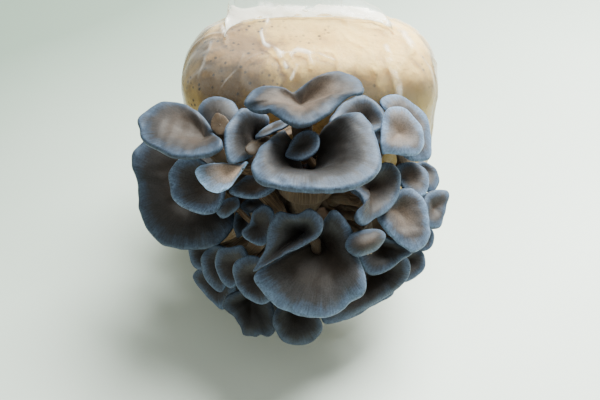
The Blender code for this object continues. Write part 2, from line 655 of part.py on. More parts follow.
def mushroom_body(mushroom, cap, route, material):
    """A cap and its stem, grown as one."""
    large = mushroom.sides >= LARGE_SIDES
    top_shares = (0.4, 0.8, 1.0) if large else (0.55, 1.0)
    under_shares = (1.0, 0.66, NECK_SHARE) if large else (1.0, NECK_SHARE)
    rings = [cap.top(share) for share in top_shares] + [cap.under(share) for share in under_shares]
    rings += stem_rings(mushroom, cap, route, stem_ring_count(mushroom))
    return solid(mushroom.name, rings, material, first=cap.navel)


def clump_body(material):
    """The fused feet of the stems, bulging out of the hole in the film."""
    angles = np.linspace(0, 2 * math.pi, CLUMP_SIDES, endpoint=False)
    rings = []
    for out, radius in ((GAP - FILM_THICKNESS, CLUMP_PROFILE[0][1]), *CLUMP_PROFILE[1:]):
        ring = [(CLUMP_ACROSS + radius * math.cos(angle), -BLOCK_HALF_DEPTH - out,
                 CLUMP_HEIGHT + radius * math.sin(angle)) for angle in angles]
        rings.append(np.array(ring))
    return solid("stem_clump", rings, material)


def block_ring(inset, height, centre=(0.0, 0.0), half=None):
    """A rounded-rectangle ring of the bag; half gives its half width and depth when not the block's own."""
    wide, deep = half or (BLOCK_HALF_WIDTH, BLOCK_HALF_DEPTH)
    angles = np.linspace(0, 2 * math.pi, BLOCK_SIDES, endpoint=False)
    power = 2 / BLOCK_CORNER_POWER
    cosines, sines = np.cos(angles), np.sin(angles)
    across = np.sign(cosines) * np.abs(cosines) ** power * (wide - inset) + centre[0]
    along = np.sign(sines) * np.abs(sines) ** power * (deep - inset) + centre[1]
    return np.stack((across, along, np.full(BLOCK_SIDES, height)), axis=1)


def block_rings(skin):
    """Rings of the block from its foot to its top; skin is how far inside the film's outside they lie."""
    rings = []
    for turn in (0.0, 0.5, 1.0):
        angle = turn * math.pi / 2
        radius = BLOCK_FOOT_RADIUS - skin
        rings.append(block_ring(skin + radius * (1 - math.sin(angle)), skin + radius * (1 - math.cos(angle))))
    for turn in (0.0, 0.34, 0.67, 1.0):
        angle = turn * math.pi / 2
        radius = BLOCK_SHOULDER - skin
        rings.append(block_ring(skin + radius * (1 - math.cos(angle)),
                                BLOCK_HEIGHT - BLOCK_SHOULDER + radius * math.sin(angle)))
    return rings


def film_body(material):
    """The film: a thin bag round the block, open where the clump grows out, folded down at the back."""
    outer = block_rings(0.0)
    for half, centre, height in FLAP_ROOT:
        outer.append(block_ring(0.0, height, centre, half))
    for back, height, lean in FLAP_FOLD:
        ring = block_ring(0.0, 0.0, (FLAP_ACROSS, 0.0), (FLAP_HALF_WIDTH, FLAP_HALF_THICKNESS))
        thick = ring[:, 1].copy()
        ring[:, 1] = back + thick * math.cos(lean)
        ring[:, 2] = height + thick * math.sin(lean)
        outer.append(ring)
    bag = solid("bag_film", outer, material)

    inner = block_rings(FILM_THICKNESS)
    for half, centre, height in FLAP_ROOT[:-1]:
        inner.append(block_ring(FILM_THICKNESS, height - FILM_THICKNESS, centre, half))
    hollow = solid("film_hollow", inner, material)
    punch = hole_punch(material)
    for cutter in (hollow, punch):
        cut = bag.modifiers.new(cutter.name, "BOOLEAN")
        cut.operation = "DIFFERENCE"
        cut.solver = "EXACT"
        cut.object = cutter
        cutter.hide_render = True
        cutter.display_type = "WIRE"
    return bag


def hole_punch(material):
    """A drum that cuts the hole in the film's front."""
    angles = np.linspace(0, 2 * math.pi, CLUMP_SIDES, endpoint=False)
    rings = []
    for back in (-BLOCK_HALF_DEPTH - PUNCH_OVERSHOOT, -BLOCK_HALF_DEPTH / 2):
        ring = [(CLUMP_ACROSS + HOLE_RADIUS * math.cos(angle), back,
                 CLUMP_HEIGHT + HOLE_RADIUS * math.sin(angle)) for angle in angles]
        rings.append(np.array(ring))
    return solid("hole_punch", rings, material)


def surface(name, colour, roughness):
    """A plain material with a name, a colour and a roughness."""
    material = bpy.data.materials.new(name)
    material.use_nodes = True
    shader = material.node_tree.nodes["Principled BSDF"]
    shader.inputs["Base Color"].default_value = (*colour, 1.0)
    shader.inputs["Roughness"].default_value = roughness
    return material


def main():
    for old in list(bpy.data.objects):
        bpy.data.objects.remove(old, do_unlink=True)

    caps = {mushroom.name: Cap(mushroom, ROUTE_SIDES) for mushroom in MUSHROOMS}
    stems = choose_stems(MUSHROOMS, caps)
    for mushroom in MUSHROOMS:
        flesh = surface(mushroom.name + "_flesh", CAP_COLOUR, 0.55)
        mushroom_body(mushroom, Cap(mushroom, mushroom.sides), stems[mushroom.name], flesh)
    clump_body(surface("clump_flesh", CLUMP_COLOUR, 0.7))
    solid("substrate_block", block_rings(FILM_THICKNESS + GAP), surface("mycelium", BLOCK_COLOUR, 0.85))
    film = surface("clear_film", FILM_COLOUR, 0.15)
    film.node_tree.nodes["Principled BSDF"].inputs["Transmission Weight"].default_value = 0.9
    film_body(film)


main()
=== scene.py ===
"""Oyster mushroom grow bag: the looks of every cap and stem, the clump, the spawn block and its film.

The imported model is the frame. Each mushroom is drawn again, finer, from the same table as its solid:
a rim on a grid of 600 by 400 steps that the camera sees, with depths towards it in millimetres.
The stems follow the solids' own stems, which are read from the frame.
"""

import math
from dataclasses import dataclass

import bmesh
import bpy
import numpy as np
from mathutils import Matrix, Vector


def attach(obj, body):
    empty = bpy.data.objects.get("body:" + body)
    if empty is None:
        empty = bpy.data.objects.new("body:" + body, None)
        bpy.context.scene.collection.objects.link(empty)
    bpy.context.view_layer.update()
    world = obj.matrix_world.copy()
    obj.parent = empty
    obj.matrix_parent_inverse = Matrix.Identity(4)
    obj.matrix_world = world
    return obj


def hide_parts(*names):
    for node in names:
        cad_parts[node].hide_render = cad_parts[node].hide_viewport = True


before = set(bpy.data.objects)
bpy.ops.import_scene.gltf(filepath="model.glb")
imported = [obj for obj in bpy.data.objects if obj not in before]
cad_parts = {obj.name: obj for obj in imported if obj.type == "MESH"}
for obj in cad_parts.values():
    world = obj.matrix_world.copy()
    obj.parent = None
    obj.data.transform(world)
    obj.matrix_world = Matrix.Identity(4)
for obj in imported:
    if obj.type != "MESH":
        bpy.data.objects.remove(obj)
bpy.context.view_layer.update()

bl_info = {
    "name": "Oyster mushroom grow bag",
    "version": (1, 0, 0),
    "blender": (4, 5, 0),
    "location": "View3D > Sidebar > Grow bag",
    "description": "Dresses a grow bag: blue-grey oyster mushrooms on a spawn block in clear film",
    "category": "Object",
}

MM = 0.001

# The block, wrapped in film, in millimetres
BLOCK_HALF_WIDTH = 104.0
BLOCK_HALF_DEPTH = 62.0
BLOCK_HEIGHT = 200.0
BLOCK_CORNER_POWER = 2.9
BLOCK_FOOT_RADIUS = 14.0
BLOCK_SHOULDER = 38.0
BLOCK_INSET = 1.2
TOP_DOME = 5.0
DOME_BACK = 14.0
DOME_FADE = 50
RING_POINTS = 1600

# The layout grid and the eye that sees it, which is the camera
GRID_CENTRE = (300.0, 200.0)
GRID_STEP = 0.75
EYE_DISTANCE = 625.0
EYE_ELEVATION = math.radians(45.0)
CLUSTER_MIDDLE = np.array((-8.0, -112.0, 133.0))
FRAME_WIDTH = 600
SENSOR_WIDTH = 36.0

RIGHT = np.array((1.0, 0.0, 0.0))
UP = np.array((0.0, math.sin(EYE_ELEVATION), math.cos(EYE_ELEVATION)))
TO_EYE = np.array((0.0, -math.cos(EYE_ELEVATION), math.sin(EYE_ELEVATION)))

# The clump of fused stem feet: (distance out from the block's face, radius)
CLUMP_HEIGHT = 96.0
CLUMP_ACROSS = -6.0
CLUMP_PROFILE = ((0.0, 38.0), (16.0, 43.0), (34.0, 42.0), (48.0, 34.0), (58.0, 22.0), (62.0, 10.0))

# The film's hole, and its top, gathered flat and folded down the back
HOLE_RADIUS = 47.0
FLAP_HALF_WIDTH = 46.0
FLAP_ACROSS = -18.0
FLAP_HALF_THICKNESS = 0.7
FLAP_ROOT = (((62.0, 12.0), (-5.0, 28.0), 204.0), ((54.0, 5.0), (-12.0, 39.0), 208.0))
FLAP_FOLD = ((48.0, 213.0, 0.6), (54.0, 216.5, 0.0), (61.0, 215.0, -0.8), (66.0, 207.0, -1.4),
             (66.6, 152.0, -1.57), (65.6, 106.0, -1.57))

# The form of a cap, the same as the solids' own
NECK_SHARE = 0.4
RIM_FLESH = 1.8
SHALLOW = 7.0
DEEP = 18.0
BOWL_POWER = 1.7
FUNNEL_POWER = 2.2
THIN_RIM = 0.15
THIN_NAVEL = 0.3
REACH_FOR_FULL_BULGE = 20.0
NECK_IN_STEP = 0.6
NECK_SPREAD = 0.7
SHARE_STEP = 0.04
CURVE_STEPS = 12

# How finely a cap is drawn: the fewest and most points round it and rings across it
ROUGH_SIDES = 48
CAP_SIDES = (56, 320)
CAP_RINGS = (10, 60)
FIRST_SHARE = 0.04
RING_CROWDING = 1.15

# A cap's margin: its bumps, the lip's widest share of the cap, and the turns of the roll in degrees
FEWEST_BUMPS = 4
BUMP_SPACING = 14
SCALLOP = 0.5
WIDEST_LIP = 0.16
MARGIN_STEP = 0.05
ROLL_TURNS = (22, 45, 68, 90, 112, 135, 158, 180)
TYPICAL_REACH = 25.0
COLOUR_REACH = 30.0

# Gills: where they begin on the roll in radians, their number, and shares of the way out to the margin
GILLS_BEGIN = (1.9, 2.9)
POINTS_A_GILL = 5
FEWEST_GILLS = 16
GILL_RINGS = 0.6
FEWEST_GILL_RINGS = 8
NEAR_MARGIN = (0.7, 1.0)
AT_MARGIN = (0.9, 1.0)
STEEP_LEAN = 8

# Stems: the step between rings in cap spacings, then reaches up from the root and down from the neck
STEM_STEP = 1.4
ROOT_REACH = 2.5
GROOVES_FADE = (4.0, 30.0)
FOOT_FADE = 40.0
THIN_STEM = 2.0
SHAKE_LENGTH = 11.0
SHAKE_DEPTH = 0.22

# The layer named beneath is 0 on top, 1 on the gills, up to 2 down a stem, and this on a cap tan all over
ALL_TAN = 3.0

# The block and the clump: points round them, step between rings, and (length, depth) of their relief
BLOCK_SIDES = 260
BLOCK_STEP = 2.2
BLOCK_HOLLOWS = (30, 0.9)
BLOCK_DIMPLES = (7, 0.35)
CLUMP_SIDES = 220
CLUMP_STEP = 1.4
CLUMP_LUMPS = (22, 1.6)
CLUMP_RIBS = (8, 0.7)

# Where sawdust shows through the mycelium on top, and where painted shade darkens the block's front beside
# the clump: (column, row), reach across and down, and strength
BARE_TOP = ((228, 66), (38, 40), 1.5)
# Painted shade on the block's front beside the clump
PAINTED_SHADE_BY_CLUMP = ((226, 232), (26, 18), 2.5)

# The film's mesh, and its creases: (seed, length, height, width of the crest)
FILM_SIDES = 300
FILM_STEP = 1.9
LONG_CREASES = (61, 46, 0.9, 0.16)
FINE_CREASES = (62, 17, 0.25, 0.22)
CREASE_STRETCH = (1.0, 1.0, 0.45)
DEEPEST_DENT = -0.3
FLAT_FOOT = 12.0
HOLE_TEAR = 2.4

# Heights between which the film is gathered, the folds there, and the pleats of the flap
GATHER_FROM = 161
GATHER_FULL = 197
GATHER_END = 206
GATHER_FOLDS = 9
GATHER_CENTRE = 26
GATHER_DEPTH = 1.1
FLAP_FLAT_FROM = 211
FLAP_BACK = 64.2
FLAP_RAGGED = 2.0
PLEAT_DEPTH = 0.5


@dataclass
class Mushroom:
    """One mushroom: its rim and its navel on the grid, and its form in millimetres.

    The lip is the radius of its rolled margin, and folds are (column, row, width, height) on the rim.
    Brown turns the centre from dark to brown, and past 1 it also brightens it as painted light; the dark end
    is in part painted shade of deep funnels. Tone scales the colours: in part a cap's own lightness, in part
    painted light on caps in the shade of others and painted shade on caps in dark gaps.
    A tan cap has the colour of a stem all over.
    """

    name: str
    navel: tuple
    near: float
    slope: tuple
    dish: float
    rim: tuple
    bulge: float = 4.0
    flesh: float = 5.0
    stem: float = 6.0
    flare: float = 1.15
    sides: int = 12
    lip: float = 1.7
    ripple: float = 1.0
    brown: float = 0.5
    tan: bool = False
    tone: float = 1.0
    folds: tuple = ()


# Tone past 1 paints light onto caps that lie in the shade of others, and under 1 paints shade onto caps in
# dark gaps and low in the cluster
MUSHROOMS = (
    Mushroom(
        "mushroom_crown", (301, 105), 44, (0.05, -0.8), 8, bulge=6, flesh=6, stem=7.2, sides=17, lip=2.3,
        brown=2.4, tone=0.66,
        rim=((243, 104), (252, 89), (266, 85), (281, 87), (288, 94, -5), (295, 92, -5), (311, 79, 7),
        (328, 72, 9), (347, 71, 5), (361, 80), (365, 92), (347, 99), (333, 112), (318, 122), (299, 128),
        (282, 122), (268, 110, 2), (256, 112, -3), (246, 110, -6)),
    ),
    Mushroom(
        "mushroom_centre_trumpet", (306, 176), 50, (0.0, -0.75), 50, bulge=3, flesh=6, stem=10, flare=2.2,
        sides=24, lip=3.3, ripple=0.8, brown=0.0,
        rim=((283, 128, -11), (268, 139), (254, 153), (250, 168), (257, 181), (276, 187), (300, 190),
        (330, 191), (354, 187), (373, 178), (382, 165), (381, 148), (376, 130), (368, 117), (357, 110),
        (338, 116, -6), (322, 130, -14), (318, 146, -28), (311, 160, -35), (303, 165, -38), (293, 154, -33),
        (286, 141, -26)),
    ),
    Mushroom(
        "mushroom_trumpet_bud", (303, 144), 41, (0.1, -0.3), 3, bulge=1.5, flesh=3, stem=2.8, sides=10,
        lip=1.5, ripple=0.4, brown=0.1, tone=0.9,
        rim=((285, 156), (289, 145), (297, 134), (308, 129), (318, 134), (319, 146), (311, 156), (298, 160)),
    ),
    Mushroom(
        "mushroom_left_wing_upper", (205, 137), 30, (0.15, -0.75), 12, flesh=6, stem=6.6, sides=17, lip=2.6,
        ripple=0.8, brown=1.0, tone=0.7,
        rim=((137, 124), (139, 114), (152, 105), (163, 100), (180, 102), (196, 109), (207, 120, -5),
        (214, 132, -6), (224, 143, 2), (213, 153), (194, 157), (172, 156), (154, 147), (141, 138)),
    ),
    Mushroom(
        "mushroom_left_wing_large", (204, 190), -8, (0.1, -0.1), 25, flesh=7, stem=8, sides=17, lip=2.9,
        brown=0.3, tone=0.62,
        rim=((141, 139, 4), (131, 154, 4), (131, 168, 4), (136, 184, 2), (136, 202, 2), (143, 225),
        (156, 242), (176, 250), (200, 251), (222, 243), (235, 227, -3), (236, 212, -9), (226, 196, -15),
        (210, 175, -16), (186, 150, -12), (160, 134)),
    ),
    Mushroom(
        "mushroom_left_inner", (217, 186), 17, (0.1, -0.15), 10, bulge=3, stem=5.5, sides=11, lip=2.2,
        ripple=0.6, brown=0.3, tone=1.6,
        rim=((168, 180), (171, 166), (182, 157), (198, 158), (214, 168, -3), (224, 182, -4), (222, 200),
        (214, 213), (198, 213), (182, 207), (171, 196)),
    ),
    # The tongue lies in the shade of the fold above it; its tone of 6 paints light onto it
    Mushroom(
        "mushroom_left_tongue", (241, 168), 35, (0.35, -0.4), -3, bulge=1, flesh=4.5, stem=3, sides=11,
        lip=1.8, ripple=0.3, brown=1.0, tone=6.0,
        rim=((194, 172), (203, 164), (220, 163), (236, 163), (249, 161), (244, 170), (236, 181), (228, 190),
        (216, 193), (204, 188)),
    ),
    Mushroom(
        "mushroom_left_button", (230, 206), 17, (0.1, 0.0), -2, bulge=1, flesh=4, stem=2.6, sides=10, lip=1.5,
        ripple=0.4, brown=0.2,
        rim=((215, 214), (219, 203), (228, 197), (238, 197), (241, 205), (235, 213), (225, 219)),
    ),
    Mushroom(
        "mushroom_left_leaf", (260, 187), 25, (0.2, -0.35), 2, bulge=3, flesh=4.5, stem=5.6, sides=11,
        ripple=0.4, brown=0.8, tone=1.6,
        rim=((228, 192), (238, 181), (250, 173), (264, 175, -2), (275, 182), (275, 190), (262, 197),
        (244, 199)),
    ),
    Mushroom(
        "mushroom_upper_left_hood", (218, 112), 12, (0.15, -0.4), -7, bulge=1, flesh=4.5, stem=5.5, sides=13,
        lip=1.8, ripple=0.5, brown=0.2, tone=0.9,
        rim=((206, 132), (199, 122), (197, 108), (206, 98), (221, 96), (235, 102), (241, 113), (236, 127),
        (221, 135)),
    ),
    Mushroom(
        "mushroom_upper_left_fold", (254, 139), 34, (-0.5, -0.3), 19, bulge=3, sides=13, lip=2.2, ripple=0.7,
        brown=0.3,
        rim=((231, 118), (225, 128), (224, 140), (225, 152), (228, 162), (240, 163), (252, 158, -3),
        (262, 146, -8), (268, 130, -8), (270, 116, -2), (256, 110, -2), (243, 107)),
    ),
    Mushroom(
        "mushroom_upper_middle_flap", (272, 128), 23, (0.1, -1.1), 2, bulge=2, flesh=3, stem=3.4, sides=10,
        lip=1.2, ripple=0.3, brown=0.4, tone=0.8,
        rim=((254, 137), (262, 129), (273, 122), (285, 119), (290, 123), (284, 128), (275, 131), (268, 135),
        (260, 138)),
    ),
    Mushroom(
        "mushroom_upper_middle_fold", (264, 142), 41, (-0.6, -0.6), 3, bulge=3, flesh=3.5, stem=3.5, sides=10,
        lip=1.0, ripple=0.3, tan=True, tone=0.22,
        rim=((245, 148), (250, 142), (260, 139), (270, 135), (271, 141), (263, 148), (255, 155), (248, 154)),
    ),
    Mushroom(
        "mushroom_upper_right_wave", (363, 126), 12, (-0.1, -0.6), 16, bulge=2, sides=13, lip=2.2, ripple=0.7,
        brown=0.6,
        rim=((330, 122), (336, 109), (348, 99), (362, 94), (373, 98), (383, 109), (388, 123), (376, 130, 2),
        (360, 133), (343, 134)),
    ),
    Mushroom(
        "mushroom_upper_right_chip", (382, 134), 0, (-0.3, -0.3), 3, bulge=2, flesh=3, stem=3.2, sides=10,
        lip=1.4, ripple=0.4,
        rim=((376, 127), (384, 124), (390, 127), (392, 134), (387, 143), (378, 144), (374, 136)),
    ),
    Mushroom(
        "mushroom_right_wing", (398, 134), 26, (-0.2, -0.35), 1, flesh=5.5, stem=5.5, sides=13, lip=2.2,
        ripple=0.7, brown=1.0, tone=2.3,
        rim=((380, 122), (386, 108), (400, 105), (414, 114), (424, 130), (426, 144), (420, 155), (406, 157),
        (390, 155), (380, 152)),
    ),
    Mushroom(
        "mushroom_right_wing_back", (405, 128), 4, (-0.25, -0.35), 1, flesh=5.5, stem=6.5, sides=13, lip=2.2,
        ripple=0.8, brown=0.9, tone=1.7,
        rim=((384, 112), (378, 102), (384, 95), (395, 93), (408, 98), (422, 109), (431, 124), (433, 144),
        (430, 160), (412, 162), (401, 154), (398, 138), (396, 122)),
    ),
    Mushroom(
        "mushroom_right_funnel", (369, 190), 30, (-0.6, -0.25), 17, flesh=5.5, stem=8, flare=1.7, sides=17,
        lip=2.2, ripple=0.5,
        rim=((350, 186, -8), (364, 174, -6), (380, 163), (390, 161), (398, 166), (402, 180), (400, 196),
        (390, 211), (376, 219), (367, 226), (358, 224, 2), (355, 213, 4), (362, 205, 2), (359, 194, -2)),
    ),
    Mushroom(
        "mushroom_right_middle", (408, 176), 0, (-0.2, -0.4), 3, bulge=3, flesh=4.5, stem=5, sides=11,
        lip=1.9, ripple=0.6, brown=0.9, tone=1.6,
        rim=((396, 166), (408, 161), (421, 164), (430, 176), (428, 191), (420, 198), (408, 192), (398, 180)),
    ),
    Mushroom(
        "mushroom_right_edge", (424, 172), -14, (-0.3, -0.3), 3, bulge=3, flesh=4, stem=3.4, sides=10,
        lip=1.5, ripple=0.5, brown=0.6,
        rim=((415, 164), (426, 162), (437, 169), (440, 182), (434, 192), (422, 190), (415, 178)),
    ),
    Mushroom(
        "mushroom_right_wing_low", (398, 210), 12, (-0.15, -0.15), 5, flesh=6, stem=7, sides=15, lip=2.2,
        ripple=0.6, brown=1.0, tone=1.6,
        rim=((392, 197), (403, 187), (418, 190), (427, 203), (431, 222), (429, 242), (415, 253), (401, 246),
        (388, 233, 3), (377, 219, 2), (380, 208, -3)),
    ),
    Mushroom(
        "mushroom_right_ear", (434, 208), -6, (-0.5, -0.2), 3, bulge=3, flesh=4.5, stem=5, sides=11,
        ripple=0.6, brown=0.8,
        rim=((423, 198), (432, 190), (446, 189), (450, 196), (446, 210), (443, 225), (433, 230), (424, 222)),
    ),
    Mushroom(
        "mushroom_right_nub", (424, 238), -22, (-0.4, 0.0), 3, bulge=3, flesh=4, stem=4, sides=10, lip=1.4,
        ripple=0.5, brown=0.3,
        rim=((418, 228), (430, 226), (435, 236), (431, 249), (421, 251), (415, 242)),
    ),
    Mushroom(
        "mushroom_right_button", (366, 243), 38, (-0.1, -0.2), -9, bulge=1, stem=3.6, sides=13, lip=2.6,
        ripple=0.3, brown=1.0, tone=0.8,
        rim=((342, 244), (349, 233), (363, 228), (380, 227), (388, 235), (384, 246), (372, 255), (356, 259),
        (345, 253)),
    ),
    Mushroom(
        "mushroom_right_lower", (382, 246), 6, (-0.15, -0.1), 6, stem=4.8, sides=13, lip=1.9, ripple=0.5,
        brown=0.3, tone=0.9,
        rim=((361, 240), (376, 235), (396, 241), (414, 252), (402, 261), (388, 272), (372, 276), (361, 266),
        (358, 252)),
    ),
    Mushroom(
        "mushroom_right_skirt", (376, 268), -4, (-0.2, 0.15), 9, bulge=6, flesh=5.5, stem=7, sides=16,
        lip=2.0, ripple=0.7, brown=0.3, tone=0.8,
        rim=((384, 258), (402, 255), (412, 262), (409, 278), (396, 292), (378, 303), (356, 315), (338, 323),
        (324, 324), (320, 310), (336, 290), (360, 266)),
    ),
    Mushroom(
        "mushroom_right_skirt_back", (370, 284), -24, (-0.2, 0.15), 6, flesh=4.5, sides=11, ripple=0.7,
        brown=0.3,
        rim=((392, 282), (396, 292), (388, 299), (372, 308), (352, 319), (340, 320), (344, 300), (366, 284)),
    ),
    Mushroom(
        "mushroom_right_outer", (405, 260), -22, (-0.35, 0.0), 5, flesh=4.5, stem=5, sides=11, ripple=0.6,
        brown=0.4,
        rim=((402, 250), (420, 249), (427, 258), (424, 271), (412, 281), (400, 282), (396, 266)),
    ),
    Mushroom(
        "mushroom_bottom_fan", (323, 243), 36, (0.0, -0.05), 22, bulge=5, flesh=7, stem=9, sides=17, lip=2.6,
        ripple=0.8, brown=0.15, tone=1.35, folds=((340, 311, 7.0, -3.0), (364, 288, 16.0, 4.0), (352, 303,
        5.0, -1.5), (289, 314, 3.5, -1.2), (303, 318, 3.5, -0.8), (320, 319, 9.0, 1.6), (266, 298, 8.0, 0.8)),
        rim=((253, 274), (258, 288), (270, 303), (286, 313), (310, 319), (335, 317), (351, 305), (365, 293),
        (367, 276), (361, 258), (358, 238, -4), (345, 214, -4), (331, 208), (321, 222, -12), (302, 240, -13),
        (274, 260, -5)),
    ),
    Mushroom(
        "mushroom_bottom_fold", (304, 232), 54, (0.2, 0.1), 16, bulge=3, flesh=4.5, stem=3.8, sides=16,
        ripple=0.5, brown=0.0, tone=0.7,
        rim=((252, 272), (262, 254), (266, 238), (269, 221), (279, 211), (296, 214), (311, 208), (323, 220),
        (320, 235), (300, 247), (276, 260)),
    ),
    Mushroom(
        "mushroom_lower_left_shield", (258, 226), 24, (0.1, 0.0), 4, bulge=3, flesh=4.5, stem=3.4, sides=11,
        ripple=0.5, brown=0.3,
        rim=((241, 231), (250, 223), (254, 211), (264, 204), (274, 210), (275, 226), (267, 243), (257, 246),
        (246, 240)),
    ),
    Mushroom(
        "mushroom_lower_left_inner", (236, 264), 2, (0.25, 0.1), 5, bulge=3, flesh=4.5, stem=5.5, sides=11,
        lip=1.8, ripple=0.5,
        rim=((214, 264), (218, 249), (230, 247), (242, 246), (248, 258), (243, 276), (232, 289), (221, 282)),
    ),
    Mushroom(
        "mushroom_lower_left_scale", (256, 276), 17, (0.2, 0.1), 5, sides=13, lip=1.9, ripple=0.6, brown=0.4,
        rim=((231, 271), (237, 259), (250, 255), (264, 260), (272, 276), (275, 294), (266, 305), (250, 302),
        (237, 289)),
    ),
    Mushroom(
        "mushroom_lower_left_outer", (225, 258), -14, (0.3, 0.1), 6, flesh=4.5, stem=5.5, sides=11,
        ripple=0.6, brown=0.3,
        rim=((200, 261), (205, 250), (218, 245), (231, 252), (233, 272), (222, 293), (210, 287), (202, 274)),
    ),
    Mushroom(
        "mushroom_lower_left_rim", (210, 254), -32, (0.35, 0.1), 5, flesh=4.5, stem=5.5, sides=11, lip=1.6,
        ripple=0.6, brown=0.3,
        rim=((187, 252), (190, 242), (206, 236), (220, 244), (217, 264), (204, 272), (193, 267)),
    ),
    Mushroom(
        "mushroom_lower_left_tail", (218, 278), -39, (0.3, 0.2), 5, flesh=4.5, stem=5.5, sides=11, ripple=0.6,
        brown=0.3,
        rim=((194, 283), (192, 275), (198, 268), (213, 264, -3), (230, 270), (236, 284), (234, 300),
        (222, 311), (210, 301), (200, 291)),
    ),
    Mushroom(
        "mushroom_bottom_left_skirt", (252, 298), -8, (0.1, 0.2), 8, flesh=5.5, stem=6.5, sides=17, lip=1.9,
        ripple=0.9, brown=0.1, tone=0.42, folds=((251, 338, 3.5, -3.0), (243, 334, 4.0, 1.5), (264, 336, 6.0,
        1.5), (232, 318, 3.0, -1.0)),
        rim=((221, 307), (225, 298), (238, 290), (260, 290), (273, 304), (276, 318), (277, 330), (270, 337),
        (261, 335), (252, 339), (243, 335), (238, 324), (229, 314)),
    ),
    Mushroom(
        "mushroom_bottom_tongue", (297, 304), 0, (0.0, 0.2), 8, bulge=6, flesh=5.5, stem=6.5, sides=13,
        lip=2.1, ripple=0.6, brown=0.2, tone=0.5,
        rim=((271, 322), (275, 309), (288, 301), (306, 302), (319, 314), (324, 330), (314, 342), (297, 347),
        (281, 341)),
    ),
    Mushroom(
        "mushroom_gap_blade", (244, 218), 2, (-0.3, 0.0), 3, bulge=2, flesh=3, stem=3, sides=9, lip=1.0,
        ripple=0.5, brown=0.2, tone=0.5,
        rim=((236, 212), (246, 209), (250, 218), (247, 230), (238, 238), (234, 226)),
    ),
    Mushroom(
        "mushroom_gap_leaf", (253, 204), 3, (0.0, -0.3), 3, bulge=2, flesh=3, stem=2.6, sides=9, lip=1.0,
        ripple=0.4, brown=0.2, tone=0.5,
        rim=((240, 208), (246, 199), (262, 198), (272, 203), (262, 208), (250, 212)),
    ),
    # A cap in a deep gap, darkened by its low tone as painted shade
    Mushroom(
        "mushroom_gap_upper", (214, 158), -18, (0.1, -0.5), 3, bulge=2, flesh=3.5, stem=4, sides=9, lip=1.0,
        ripple=0.4, brown=0.1, tone=0.25,
        rim=((190, 160), (204, 146), (224, 142), (238, 150), (234, 164), (218, 170), (200, 170)),
    ),
    Mushroom(
        "mushroom_gap_right", (386, 229), -2, (-0.1, 0.1), 2, bulge=1, flesh=3, stem=3, sides=9, lip=0.9,
        ripple=0.3, tan=True, tone=0.6,
        rim=((372, 222), (380, 217), (390, 224), (400, 235), (399, 241), (388, 240), (377, 235)),
    ),
    Mushroom(
        "mushroom_hood_stub", (220, 125), 32, (0.2, -0.2), -1, bulge=0.5, flesh=2.5, stem=2.8, sides=9,
        lip=0.8, ripple=0.3, tan=True, tone=0.4,
        rim=((212, 117), (218, 113), (228, 119), (230, 127), (226, 134), (217, 135), (211, 127)),
    ),
    Mushroom(
        "mushroom_underside_left", (235, 270), -58, (0.3, 0.5), 6, sides=9, lip=1.8, ripple=0.7, brown=0.3,
        rim=((205, 280), (213, 262), (232, 256), (250, 264), (256, 284), (244, 304), (224, 304)),
    ),
    Mushroom(
        "mushroom_underside_middle", (285, 290), -44, (0.05, 0.5), 6, stem=5.5, sides=9, lip=1.8, ripple=0.7,
        brown=0.3,
        rim=((254, 300), (264, 282), (284, 276), (306, 280), (318, 298), (306, 322), (284, 328), (264, 320)),
    ),
    Mushroom(
        "mushroom_underside_right", (350, 275), -54, (-0.3, 0.4), 6, sides=9, lip=1.8, ripple=0.7, brown=0.3,
        rim=((332, 284), (340, 264), (362, 256), (384, 264), (388, 284), (370, 302), (346, 304)),
    ),
    Mushroom(
        "mushroom_side_left", (190, 212), -48, (0.4, 0.0), 8, bulge=5, stem=6.5, sides=9, lip=1.9, ripple=0.7,
        rim=((158, 208), (166, 190), (188, 182), (208, 190), (214, 212), (202, 234), (178, 236), (162, 226)),
    ),
    Mushroom(
        "mushroom_side_right", (412, 212), -44, (-0.4, -0.1), 8, bulge=5, stem=6.5, sides=9, lip=1.9,
        ripple=0.7,
        rim=((392, 206), (404, 190), (424, 190), (436, 206), (434, 226), (416, 236), (396, 228)),
    ),
)


# Creases in the film that the eye sees: a line on the grid, its width in steps and its height; the film is
# also made milky white along them, in part as a painted highlight
FILM_CREASES = (
    (((268, 20), (261, 34), (264, 44), (274, 50), (281, 58), (286, 68)), 1.8, 1.9),
    (((276, 51), (288, 56), (297, 66), (291, 80)), 1.6, 1.3),
    (((288, 56), (298, 50), (309, 54), (312, 64)), 2.0, 1.6),
    (((297, 52), (316, 53), (334, 60)), 1.6, 0.9),
    (((228, 18), (223, 28), (227, 42)), 2.0, 1.5),
    (((212, 44), (206, 58), (199, 80)), 2.2, 0.7),
    (((262, 4), (300, 10), (345, 9)), 4.0, 1.4),
    (((345, 12), (380, 20), (402, 32), (412, 48)), 3.0, 1.4),
    (((386, 48), (392, 66), (397, 84), (399, 100)), 4.0, 1.3),
    (((244, 54), (238, 68), (225, 82), (217, 97)), 1.6, 0.6),
)


def on_sight_line(column, row, near):
    """The point that the eye sees at a grid place, at a depth in front of the cluster's middle."""
    across = (column - GRID_CENTRE[0]) * GRID_STEP
    up = (GRID_CENTRE[1] - row) * GRID_STEP
    return CLUSTER_MIDDLE + (1 - near / EYE_DISTANCE) * (across * RIGHT + up * UP) + near * TO_EYE


def grid_place(points):
    """The columns and rows of the layout grid where the eye sees the points."""
    offset = points - CLUSTER_MIDDLE
    scale = GRID_STEP * (1 - offset @ TO_EYE / EYE_DISTANCE)
    return GRID_CENTRE[0] + offset @ RIGHT / scale, GRID_CENTRE[1] - offset @ UP / scale


def unit(vectors):
    return vectors / np.linalg.norm(vectors, axis=-1, keepdims=True)


def smooth(low, high, values):
    """A soft step from 0 at low to 1 at high."""
    share = np.clip((values - low) / (high - low), 0.0, 1.0)
    return share * share * (3 - 2 * share)


